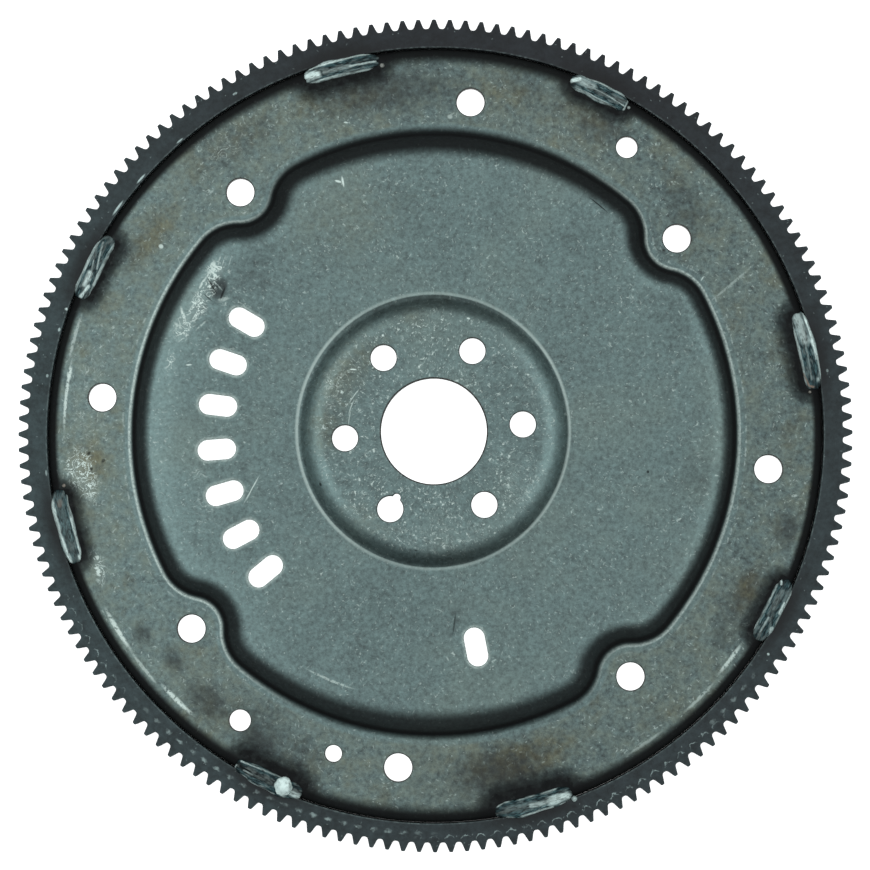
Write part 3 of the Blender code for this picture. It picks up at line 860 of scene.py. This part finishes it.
def plateRings(look):
    lobe = lobeOutline(look, 0.0)
    turns = np.arctan2(lobe[:, 1], lobe[:, 0])
    spokes = np.stack([np.cos(turns), np.sin(turns)], axis=1)
    rings = []

    def add(flat, height):
        rings.append(np.column_stack([flat, np.full(len(flat), height)]))

    def blend(first, last, steps, height):
        for i in range(1, steps):
            add(first + (last - first) * i / steps, height)

    face, bend = look["faceHeight"], look["bendRadius"]
    add(spokes * look["skirtRadius"], look["skirtLift"])
    add(spokes * look["skirtRadius"], 0.6 * (face - bend))
    for i in range(look["bendSteps"] + 1):
        turn = math.radians(90 * i / look["bendSteps"])
        radius = look["flangeRadius"] + bend * math.cos(turn)
        add(spokes * radius, face - bend * (1 - math.sin(turn)))
    blend(spokes * look["flangeRadius"], lobe, look["flangeSteps"], face)
    for run, height in drawnWall(look["webRise"], look["webWall"]):
        add(lobeOutline(look, run), face + height)
    web = face + look["webRise"]
    blend(rings[-1][:, :2], spokes * look["hubRadius"], look["webSteps"], web)
    for run, height in drawnWall(look["hubRise"], look["hubWall"]):
        add(spokes * (look["hubRadius"] - run), web + height)
    hub = web + look["hubRise"]
    blend(rings[-1][:, :2], spokes * look["blankBore"], look["hubSteps"], hub)
    add(spokes * look["blankBore"], hub)
    return rings


def makePlateSheet(look):
    rings = plateRings(look)
    bpy.ops.mesh.primitive_circle_add(vertices=len(rings[0]), radius=look["skirtRadius"],
                                      location=(0, 0, 0))
    plate = named("drawnPlate")
    shell = startEdit(plate)
    station = shell.verts.layers.int.new("station")
    for i, corner in enumerate(shell.verts):
        corner[station] = i
        corner.co = rings[0][i]
    for ring in rings[1:]:
        shell = extrudeEdges(plate)
        shell.verts.ensure_lookup_table()
        station = shell.verts.layers.int["station"]
        for corner in shell.verts[-len(ring):]:
            corner.co = ring[corner[station]]
    bpy.ops.mesh.select_all(action="SELECT")
    bpy.ops.mesh.normals_make_consistent(inside=False)
    shell = bmesh.from_edit_mesh(plate.data)
    if sum(face.normal.z * face.calc_area() for face in shell.faces) < 0:
        bpy.ops.mesh.flip_normals()
    endEdit()
    plate.data.materials.append(plateSteel)
    sheet = plate.modifiers.new("sheet", "SOLIDIFY")
    sheet.thickness = look["thickness"]
    sheet.offset = -1.0
    sheet.use_even_offset = True
    bpy.ops.object.modifier_apply(modifier="sheet")
    return plate


# what the punches cut, with the roll that each leaves at the edge of its hole
punchLook = {
    "sides": 64,
    "through": 6.0 * mm,
    "rollTurns": (0.44, 0.87, 1.26),
    "ledge": 0.05 * mm,
    "lift": 1.0 * mm,
    "crank": {"circle": 38.1 * mm, "hole": 5.55 * mm, "first": 4.4, "keyBolt": 4,
              "keyShift": -3.7, "notch": 1.7 * mm, "notchRoll": 0.3 * mm, "roll": 0.45 * mm},
    "bore": {"hole": 22.6 * mm, "roll": 0.7 * mm},
    "converter": {"hole": 6.0 * mm, "roll": 0.5 * mm,
                  "rows": ((144.5 * mm, 83.8), (134.3 * mm, 38.8))},
    "locating": {"roll": 0.4 * mm,
                 "places": ((149.2 * mm, 56.1, 4.6 * mm), (149.2 * mm, 235.9, 4.6 * mm),
                            (144.4 * mm, 252.5, 3.6 * mm))},
    "slot": {"circle": 93.7 * mm, "length": 16.6 * mm, "width": 8.9 * mm, "roll": 0.5 * mm,
             "angles": [149.5 + slotPitch * i for i in range(7)] + [281.0]},
}


def makePunch(place, turn, radius, roll, material, reach=0.0):
    # an upright punch whose side opens out at the face, for the rolled edge of the hole
    look = punchLook
    sides = look["sides"]
    bpy.ops.mesh.primitive_cylinder_add(
        vertices=sides, radius=radius, depth=look["through"],
        location=(0, 0, -roll - look["through"] / 2), rotation=(0, 0, math.pi / sides))
    punch = bpy.context.active_object
    bpy.ops.object.transform_apply(location=True, rotation=True, scale=False)
    body = startEdit(punch, "DESELECT")
    body.faces.ensure_lookup_table()
    top = max(body.faces, key=lambda face: face.calc_center_median().z)
    top.select_set(True)
    bmesh.update_edit_mesh(punch.data)
    steps = [(roll * (1 - math.cos(t)), roll * math.sin(t)) for t in look["rollTurns"]]
    ledge = roll + look["ledge"]
    steps += [(ledge, ledge), (ledge, roll + look["lift"])]
    out, up = 0.0, 0.0
    for nextOut, nextUp in steps:
        bpy.ops.mesh.extrude_region_move(
            TRANSFORM_OT_translate={"value": (0, 0, nextUp - up)})
        growth = (radius + nextOut) / (radius + out)
        bpy.ops.transform.resize(value=(growth, growth, 1), center_override=(0, 0, nextUp))
        out, up = nextOut, nextUp
    if reach:
        body = bmesh.from_edit_mesh(punch.data)
        for corner in body.verts:
            corner.co.x += reach if corner.co.x > 0 else -reach
        bmesh.update_edit_mesh(punch.data)
    endEdit()
    punch.data.materials.append(material)
    punch.location = place
    punch.rotation_euler.z = math.radians(turn)
    bpy.ops.object.transform_apply(location=True, rotation=True, scale=False)
    return punch


def punchPlate(plate, look):
    face = plateLook["faceHeight"]
    web = face + plateLook["webRise"]
    hub = web + plateLook["hubRise"]
    crank, converter, locating = look["crank"], look["converter"], look["locating"]
    bore, slot = look["bore"], look["slot"]
    punches = []

    def strike(circle, angle, height, hole, roll, turn, material=shearedEdge, reach=0.0):
        place = polarPoint(circle, angle, height)
        punches.append(makePunch(place, turn, hole, roll, material, reach))

    strike(0, 0, hub, bore["hole"], bore["roll"], 0)
    for i in range(6):
        angle = crank["first"] + 60 * i
        if i == crank["keyBolt"]:
            angle += crank["keyShift"]
            strike(crank["circle"] - crank["hole"], angle, hub, crank["notch"],
                   crank["notchRoll"], 0)
        strike(crank["circle"], angle, hub, crank["hole"], crank["roll"], angle)
    for circle, first in converter["rows"]:
        for i in range(4):
            strike(circle, first + 90 * i, face, converter["hole"], converter["roll"], first)
    for circle, angle, hole in locating["places"]:
        strike(circle, angle, face, hole, locating["roll"], angle)
    half = slot["width"] / 2
    for angle in slot["angles"]:
        strike(slot["circle"], angle, web, half, slot["roll"], angle, burrEdge,
               slot["length"] / 2 - half)
    tools = bpy.data.collections.new("punches")
    bpy.context.scene.collection.children.link(tools)
    for punch in punches:
        for home in list(punch.users_collection):
            home.objects.unlink(punch)
        tools.objects.link(punch)
    pick(plate)
    cut = plate.modifiers.new("punched", "BOOLEAN")
    cut.operation = "DIFFERENCE"
    cut.solver = "MANIFOLD"
    cut.operand_type = "COLLECTION"
    cut.collection = tools
    cut.material_mode = "TRANSFER"
    bpy.ops.object.modifier_apply(modifier="punched")
    for punch in punches:
        bpy.data.objects.remove(punch, do_unlink=True)
    bpy.data.collections.remove(tools)


def markField(turns, radii, marks, drawnOut=False):
    # the strongest of a list of soft oval marks at each point, or of bands of an even width
    total = np.zeros(len(turns))
    for angle, radius, halfArc, halfOut, turn, soft, strength in marks:
        arc = np.radians((turns - angle + 180) % 360 - 180) * radius
        out = radii - radius
        if drawnOut:
            arc, halfArc = np.maximum(np.abs(arc) - halfArc, 0), halfOut
        cos, sin = math.cos(math.radians(turn)), math.sin(math.radians(turn))
        away = np.hypot((arc * cos + out * sin) / halfArc, (out * cos - arc * sin) / halfOut)
        share = np.clip((1 + soft - away) / (2 * soft), 0, 1)
        total = np.maximum(total, strength * share * share * (3 - 2 * share))
    return total


def paintPlate(plate, look):
    # how far each point lies inwards from the foot of the web, in millimetres
    innermost, outermost, farAway = 100, 145, 40
    places = readPoints(plate.data)[:, :2] / mm
    line = lobeOutline(look, 0.0) / mm
    ahead = np.roll(line, -1, axis=0) - line
    reach = np.hypot(places[:, 0], places[:, 1])
    near = (reach > innermost) & (reach < outermost)
    inward = np.where(reach <= innermost, farAway, -farAway).astype(float)
    for chunk in np.array_split(np.nonzero(near)[0], 80):
        apart = places[chunk, None, :] - line[None, :, :]
        share = np.clip((apart * ahead).sum(axis=2) / (ahead ** 2).sum(axis=1), 0, 1)
        off = apart - share[:, :, None] * ahead
        away = np.hypot(off[:, :, 0], off[:, :, 1])
        nearest = away.argmin(axis=1)
        row = np.arange(len(chunk))
        turn = (ahead[nearest, 0] * off[row, nearest, 1] - ahead[nearest, 1] * off[row, nearest, 0])
        inward[chunk] = np.copysign(away[row, nearest], turn)
    paintPoints(plate.data, "fromLobe", inward)
    turns = np.degrees(np.arctan2(places[:, 1], places[:, 0]))
    for kind in ("soot", "brown", "smudge", "scuff"):
        paintPoints(plate.data, kind, markField(turns, reach, plateMarks[kind], kind == "soot"))
    for name in ("station", "UVMap"):
        plate.data.attributes.remove(plate.data.attributes[name])


clearSelection()
plate = makePlateSheet(plateLook)
punchPlate(plate, punchLook)
paintPlate(plate, plateLook)
smoothByAngle(plate, plateLook["smoothAngle"])
finishPiece(plate, "plate_steel", "flexplate")
print("plate drawn and punched:", len(plate.data.polygons), "faces")


# the ring gear: one tooth shaped on a grid, then spun round
ringLook = {
    "teeth": toothCount,
    "firstTooth": 0.08,
    "tip": 180.0,
    "root": 175.75,
    "halfTip": 0.72,
    "pressure": 20.0,
    "fillet": 1.2,
    "land": 0.35,
    "bore": 167.5,
    "width": 10.0,
    "smoothAngle": 40,
}


def toothSide(look):
    # from the middle of a gap to the middle of the tooth: (angle from the tooth, radius)
    pitch = 2 * math.pi / look["teeth"]
    spread = math.tan(math.radians(look["pressure"]))
    footRadius = look["root"] + look["fillet"]
    footHalf = look["halfTip"] + (look["tip"] - footRadius) * spread
    footGap = pitch / 2 * footRadius - footHalf
    bend = footGap - look["fillet"] * spread
    side = [(-pitch / 2, look["root"]), (-pitch / 2 + look["land"] / look["root"], look["root"])]
    for t in (0.3, 0.55, 0.8, 1.0):
        x = (1 - t)**2 * look["land"] + 2 * t * (1 - t) * bend + t * t * footGap
        radius = look["root"] + t * t * look["fillet"]
        side.append((-pitch / 2 + x / radius, radius))
    for radius in (177.9, 179.0, 179.72):
        half = look["halfTip"] + (look["tip"] - radius) * spread
        side.append((-half / radius, radius))
    side.append((-0.56 / 179.95, 179.95))
    side.append((0.0, look["tip"]))
    return side


def toothRows(look):
    # rows of points round the section, from the back of the bore to the back of the bore
    side = toothSide(look)
    columns = np.array(side + [(-turn, radius) for turn, radius in reversed(side[:-1])])
    turns, radii = columns[:, 0], columns[:, 1]
    flat = np.column_stack([radii * np.cos(turns), radii * np.sin(turns)])
    ahead = np.roll(flat, -1, axis=0) - np.roll(flat, 1, axis=0)
    ahead[0] = flat[1] - flat[0]
    ahead[-1] = flat[-1] - flat[-2]
    ahead /= np.linalg.norm(ahead, axis=1)[:, None]
    inward = np.column_stack([-ahead[:, 1], ahead[:, 0]])
    width = look["width"]

    def outline(inset, cap):
        moved = flat + inward * inset
        moved[0] = flat[0] * (1 - inset / look["root"])
        moved[-1] = flat[-1] * (1 - inset / look["root"])
        reach = np.linalg.norm(moved, axis=1)
        return moved * np.minimum(1, cap / reach)[:, None]

    def bore(radius):
        return radius * np.column_stack([np.cos(turns), np.sin(turns)])

    def between(radius, share, cap):
        return bore(radius) * (1 - share) + outline(0.22, cap) * share

    return [
        (bore(167.8), 0.0, 0.3), (bore(look["bore"]), 0.3, 0.0), (bore(look["bore"]), 9.5, 0.2),
        (bore(167.62), 9.87, 0.9), (bore(167.95), width, 0.5), (bore(168.3), width, 0.0),
        (between(168.0, 0.5, 179.5), width, 0.0), (between(168.0, 0.93, 179.5), width, 0.0),
        (outline(0.16, 179.5), width, 0.35), (outline(0.05, 179.75), 9.92, 1.0),
        (outline(0.0, 179.9), 9.75, 0.6), (outline(0.0, 180.0), 9.2, 0.2),
        (outline(0.0, 180.0), 0.3, 0.0), (outline(0.22, 179.7), 0.0, 0.5),
        (between(167.8, 0.4, 179.7), 0.0, 0.0), (bore(167.8), 0.0, 0.3),
    ]


def makeRing(look):
    rows = toothRows(look)
    across, down = len(rows[0][0]), len(rows)
    bpy.ops.mesh.primitive_grid_add(x_subdivisions=across - 1, y_subdivisions=down - 1,
                                    size=0.01, location=(0, 0, 0))
    ring = named("toothedRing")
    places = np.concatenate([np.column_stack([flat, np.full(across, height)])
                             for flat, height, _ in rows]) * mm
    writePoints(ring.data, places)
    paintPoints(ring.data, "worn", np.repeat([row[2] for row in rows], across))
    startEdit(ring)
    count = look["teeth"]
    bpy.ops.mesh.spin(steps=count - 1, dupli=True, angle=2 * math.pi * (count - 1) / count,
                      center=(0, 0, 0), axis=(0, 0, 1))
    endEdit()
    recalcNormals(ring)
    ring.rotation_euler.z = math.radians(look["firstTooth"])
    pick(ring)
    bpy.ops.object.transform_apply(location=False, rotation=True, scale=False)
    ring.data.materials.append(ringSteel)
    smoothByAngle(ring, look["smoothAngle"])
    return ring


clearSelection()
ring = makeRing(ringLook)
finishPiece(ring, "ring_steel", "ring_gear")
print("ring gear spun:", len(ring.data.polygons), "faces")


# the weld beads, swept over a grid and let into the groove
beadLook = {
    "circle": 164.5,
    "halfWidth": 4.1,
    "crown": 1.75,
    "base": 9.97,
    "grid": (120, 32),
    "squareness": 3.2,
    "seedStep": 17.3,
    "ripplePitch": 2.6,
    "grain": (5.5, 1.7),
    # height, place and width of the raised lines at both sides
    "lips": (0.34, 0.70, 0.17),
    "smoothAngle": 60,
    # inner radius, outer radius and height of the bead at the groove's mouth and at its root
    "groove": (163.3, 167.45, 9.94),
    "root": (164.3, 167.2, 8.7),
    # strokes of paint on each bead: angle and radius of both ends, half width, strength
    # shine: painted highlights along each bead's rims and middle
    "shine": {
        1: ((7.3, 168.4, 11, 168.2, 0.45, 0.8), (11, 167.9, 18, 167.2, 0.7, 1),
            (7.2, 161.2, 18, 160.9, 0.45, 0.9), (14, 164.6, 17.7, 164, 1.9, 0.55),
            (8, 164, 14, 164.2, 0.35, 0.28), (7.9, 167, 8, 167, 0.8, 0.5)),
        2: ((68.2, 168, 60.2, 167.6, 0.4, 0.75), (67.7, 166, 68.8, 163.8, 0.8, 1),
            (67, 164.8, 60, 163.8, 0.3, 0.55), (67.5, 161.6, 61, 161, 0.35, 0.5),
            (59.8, 167, 59.7, 162, 0.3, 0.65), (67.8, 165.8, 65.5, 165.2, 1.5, 0.45)),
        3: ((98.8, 167.4, 109, 167.2, 0.4, 1), (99, 163.5, 103, 163.5, 0.35, 0.6),
            (103, 163.6, 107, 163.8, 0.8, 0.35), (99, 160.4, 109.5, 161, 0.45, 0.85),
            (108.2, 164, 109.8, 164.2, 1.7, 0.95)),
        4: ((149.5, 167.3, 158.5, 167.5, 0.4, 0.6), (152.5, 167.5, 155, 167.5, 0.55, 1),
            (149.3, 161.2, 158.8, 161, 0.4, 0.6), (151.5, 161, 156.5, 161, 0.5, 0.95),
            (155, 164.6, 157, 164.8, 1.1, 0.8), (157, 162.8, 158.8, 164.3, 0.7, 0.95),
            (150, 165.8, 154, 162.6, 0.35, 0.55), (153, 165.6, 156, 163.2, 0.3, 0.5)),
        5: ((189, 168, 193, 167.6, 0.85, 1), (193, 167.4, 199.5, 166.3, 0.7, 0.85),
            (189.5, 160.6, 199.5, 161, 0.5, 1), (190, 164.5, 199, 164, 2, 0.12),
            (199.2, 162, 199.4, 162, 0.8, 0.9)),
        6: ((239, 169.2, 239.2, 166, 0.3, 0.8), (239.2, 169.4, 246, 169.7, 0.28, 0.6),
            (239.5, 163.6, 243, 162.2, 0.28, 0.6), (243, 162.2, 246.5, 161.8, 0.28, 0.6),
            (240.5, 166.4, 242, 166.2, 0.3, 0.4), (248.2, 166.2, 249.5, 166.6, 1.3, 0.6)),
        7: ((283.5, 168.5, 287.5, 168.3, 0.4, 0.95), (279.4, 167.8, 280, 168.2, 0.4, 0.8),
            (279.5, 162.3, 281, 160.8, 0.4, 0.7), (287.5, 165.5, 290, 165.8, 1.7, 0.8),
            (284.5, 165.2, 290, 165.6, 0.9, 0.6), (281, 164.5, 285, 164.8, 1.4, 0.18),
            (290.5, 167.8, 290.7, 167.9, 0.6, 0.9)),
        8: ((329.3, 167.5, 329.8, 167.4, 0.7, 0.8), (332.4, 167.2, 334, 167, 0.6, 0.8),
            (328.5, 163.8, 331, 163.8, 0.4, 0.45), (328.3, 160.9, 336.5, 160.9, 0.35, 0.6),
            (332.5, 164, 335.4, 164.2, 1, 0.22), (336.4, 162.6, 337, 161.4, 0.4, 0.9)),
    },
    "burnt": {
        1: ((17.2, 164, 17.2, 164, 0.6, 1),),
        6: ((240, 166, 246, 165.6, 2.4, 0.45),),
        7: ((289.9, 165.8, 289.9, 165.8, 0.55, 1), (280.5, 164.5, 283, 164.5, 2, 0.25)),
        8: ((331.5, 165, 333.5, 164.6, 1.4, 0.35),),
    },
    "warm": {
        1: ((6.9, 164.4, 7.1, 162.6, 0.4, 0.8), (7.1, 162.6, 9.2, 160.8, 0.35, 0.8)),
        5: ((190.3, 164.3, 190.9, 164.8, 0.8, 0.35),),
    },
}


def strokeField(turns, radii, circle, rough, strokes):
    # brush strokes along a bead: angle and radius of both ends, half width, strength
    total = np.zeros(len(turns))
    scale = math.radians(1) * circle
    for startTurn, startRadius, endTurn, endRadius, wide, strength in strokes:
        arc, out = (turns - startTurn) * scale, radii - startRadius
        lineArc, lineOut = (endTurn - startTurn) * scale, endRadius - startRadius
        length = max(lineArc ** 2 + lineOut ** 2, 1e-6)
        share = np.clip((arc * lineArc + out * lineOut) / length, 0, 1)
        away = np.hypot(arc - share * lineArc, out - share * lineOut) / wide + 0.55 * rough
        total = np.maximum(total, strength * np.clip(1.5 - away, 0, 1))
    return total


def makeBead(number, look):
    middle, length, stray, _, tone = beadRows[number]
    alongSteps, acrossSteps = look["grid"]
    bpy.ops.mesh.primitive_grid_add(x_subdivisions=alongSteps, y_subdivisions=acrossSteps,
                                    size=2.0, location=(0, 0, 0))
    bead = named(f"weldBead{number + 1}")
    square = readPoints(bead.data)[:, :2]
    n = look["squareness"]
    edge = np.abs(square).max(axis=1)
    power = (np.abs(square) ** n).sum(axis=1) ** (1 / n)
    even = square * (edge / np.maximum(power, 1e-9))[:, None]
    seed = look["seedStep"] * (number + 1)
    wobble = np.array([noise.noise(Vector((u * 1.7 + seed, 2.0 * np.sign(v), 0.0)))
                       for u, v in square])
    ragged = np.array([noise.noise(Vector((2.6 * v + seed, 3.0 * np.sign(u), 5.0)))
                       for u, v in square])
    along = even[:, 0] * length / 2 * (1 + 0.05 * ragged * edge)
    across = even[:, 1] * look["halfWidth"] * (1 + 0.26 * wobble * edge)
    v = even[:, 1]
    grainAlong, grainAcross = look["grain"]
    rough = np.array([
        noise.fractal(Vector((x / grainAlong + seed, y / grainAcross, seed)), 0.9, 2.1, 3)
        for x, y in zip(along, across)])
    ripple = np.sin(2 * math.pi * (along / look["ripplePitch"] + 0.55 * v * v + 0.25 * rough))
    ridge = 0.08 * np.exp(-((v + 0.05 - 0.2 * wobble) / 0.14) ** 2)
    lip, lipPlace, lipWidth = look["lips"]
    for side in (-1, 1):
        ridge += lip * np.exp(-((v + side * lipPlace) / lipWidth) ** 2)
    dome = np.clip(1 - edge ** 2.4, 0, 1) ** 0.6
    height = look["crown"] * dome * (0.62 + ridge + 0.05 * ripple + 0.13 * rough)
    radius = look["circle"] + stray + across
    turn = math.radians(middle) + along / look["circle"]
    places = np.column_stack([radius * np.cos(turn), radius * np.sin(turn),
                              look["base"] + height]) * mm
    writePoints(bead.data, places)
    paintPoints(bead.data, "beadAlong", along)
    paintPoints(bead.data, "beadOut", radius)
    for kind in ("shine", "burnt", "warm"):
        paint = strokeField(np.degrees(turn), radius, look["circle"], rough,
                            look[kind].get(number + 1, ()))
        if kind == "shine":
            # painted highlight along the raised lips at both sides of the bead, with faint ones where the grain
            # rises
            lit = np.clip(1.0 + 1.5 * rough - 0.5 * tone, 0, 1)
            rim = np.exp(-((np.abs(v) - 0.84) / 0.08) ** 2) * (np.abs(square[:, 0]) < 0.93)
            paint = np.maximum(paint, lit * rim)
            paint = np.maximum(paint, np.clip(0.5 * rough - 0.02, 0, 0.18))
        if kind == "burnt":
            # darker ends, and a painted shadow line along both flanks of the bead
            ends = np.clip((np.abs(square[:, 0]) - 0.86) / 0.10, 0, 0.6)
            ends = np.maximum(ends, np.clip((np.abs(v) - 0.90) / 0.05, 0, 0.9))
            hollow = np.exp(-((v + 0.1 * wobble) / 0.42) ** 2) * tone
            paint = np.maximum(np.maximum(paint, ends), np.clip(hollow + 0.5 * rough, 0, 0.9))
        paintPoints(bead.data, kind, paint)
    body = startEdit(bead, "DESELECT")
    for line in body.edges:
        if line.is_boundary:
            line.select_set(True)
    bmesh.update_edit_mesh(bead.data)
    for low, high, level in (look["groove"], look["root"]):
        body = extrudeEdges(bead)
        for corner in body.verts:
            if corner.select:
                flat = Vector((corner.co.x, corner.co.y, 0))
                reach = min(max(flat.length, low * mm), high * mm)
                corner.co = flat.normalized() * reach + Vector((0, 0, level * mm))
        bmesh.update_edit_mesh(bead.data)
    bpy.ops.mesh.edge_face_add()
    endEdit()
    recalcNormals(bead, 0.000001)
    bead.data.materials.append(weldMetal)
    smoothByAngle(bead, look["smoothAngle"])
    return bead


for number in range(len(beadRows)):
    clearSelection()
    bead = makeBead(number, beadLook)
    finishPiece(bead, "weld_metal", f"weld_{number + 1}")
print("weld beads laid")

# drops of weld spatter: angle, radius, height of the surface below, half width, half height,
# brightness, warmth
spatterLook = {
    "segments": 40,
    "rings": 24,
    "lumpiness": 0.16,
    "smoothAngle": 60,
    "drops": (
        (246.9, 165.0, 10.9, 3.85, 1.5, 1.30, 0.0),
        (98.1, 161.3, 10.0, 1.0, 0.9, 0.75, 0.5), (161.3, 168.3, 10.0, 0.7, 0.5, 1.0, 0.0),
        (326.4, 171.9, 10.0, 0.6, 0.4, 0.9, 0.0), (59.2, 164.2, 10.0, 0.7, 0.5, 0.6, 0.2),
        (120.4, 171.2, 10.0, 0.5, 0.35, 0.7, 0.0), (290.9, 168.0, 10.0, 1.2, 0.8, 0.8, 0.0),
        (188.0, 161.6, 10.0, 0.8, 0.6, 0.5, 0.7), (6.2, 162.6, 10.0, 0.6, 0.5, 0.5, 0.6),
    ),
}


def makeSpatter(look):
    parts = []
    for number, (angle, radius, ground, wide, tall, bright, warmth) in enumerate(look["drops"]):
        bpy.ops.mesh.primitive_uv_sphere_add(segments=look["segments"], ring_count=look["rings"],
                                             radius=1.0, location=(0, 0, 0))
        drop = bpy.context.active_object
        unit = readPoints(drop.data)
        aside = Vector((7.1 * number, 0, 0))
        lumps = np.array([noise.fractal(Vector(point * 1.3) + aside, 0.8, 2.0, 3)
                          for point in unit])
        places = unit * (wide, wide, tall) * (1 + look["lumpiness"] * lumps)[:, None]
        writePoints(drop.data, (places + polarPoint(radius, angle, ground + 0.25 * tall)) * mm)
        paintPoints(drop.data, "shine", bright * np.clip(1.2 + 0.8 * lumps, 0.4, 1))
        paintPoints(drop.data, "burnt", np.clip(-0.3 - lumps, 0, 0.5))
        paintPoints(drop.data, "warm", np.full(len(unit), warmth))
        parts.append(drop)
    clearSelection()
    for drop in parts:
        drop.select_set(True)
    bpy.context.view_layer.objects.active = parts[0]
    bpy.ops.object.join()
    spatter = parts[0]
    spatter.name = "weldSpatter"
    spatter.data.materials.append(weldMetal)
    smoothByAngle(spatter, look["smoothAngle"])
    return spatter


clearSelection()
spatter = makeSpatter(spatterLook)
finishPiece(spatter, "weld_metal")
print("spatter scattered")
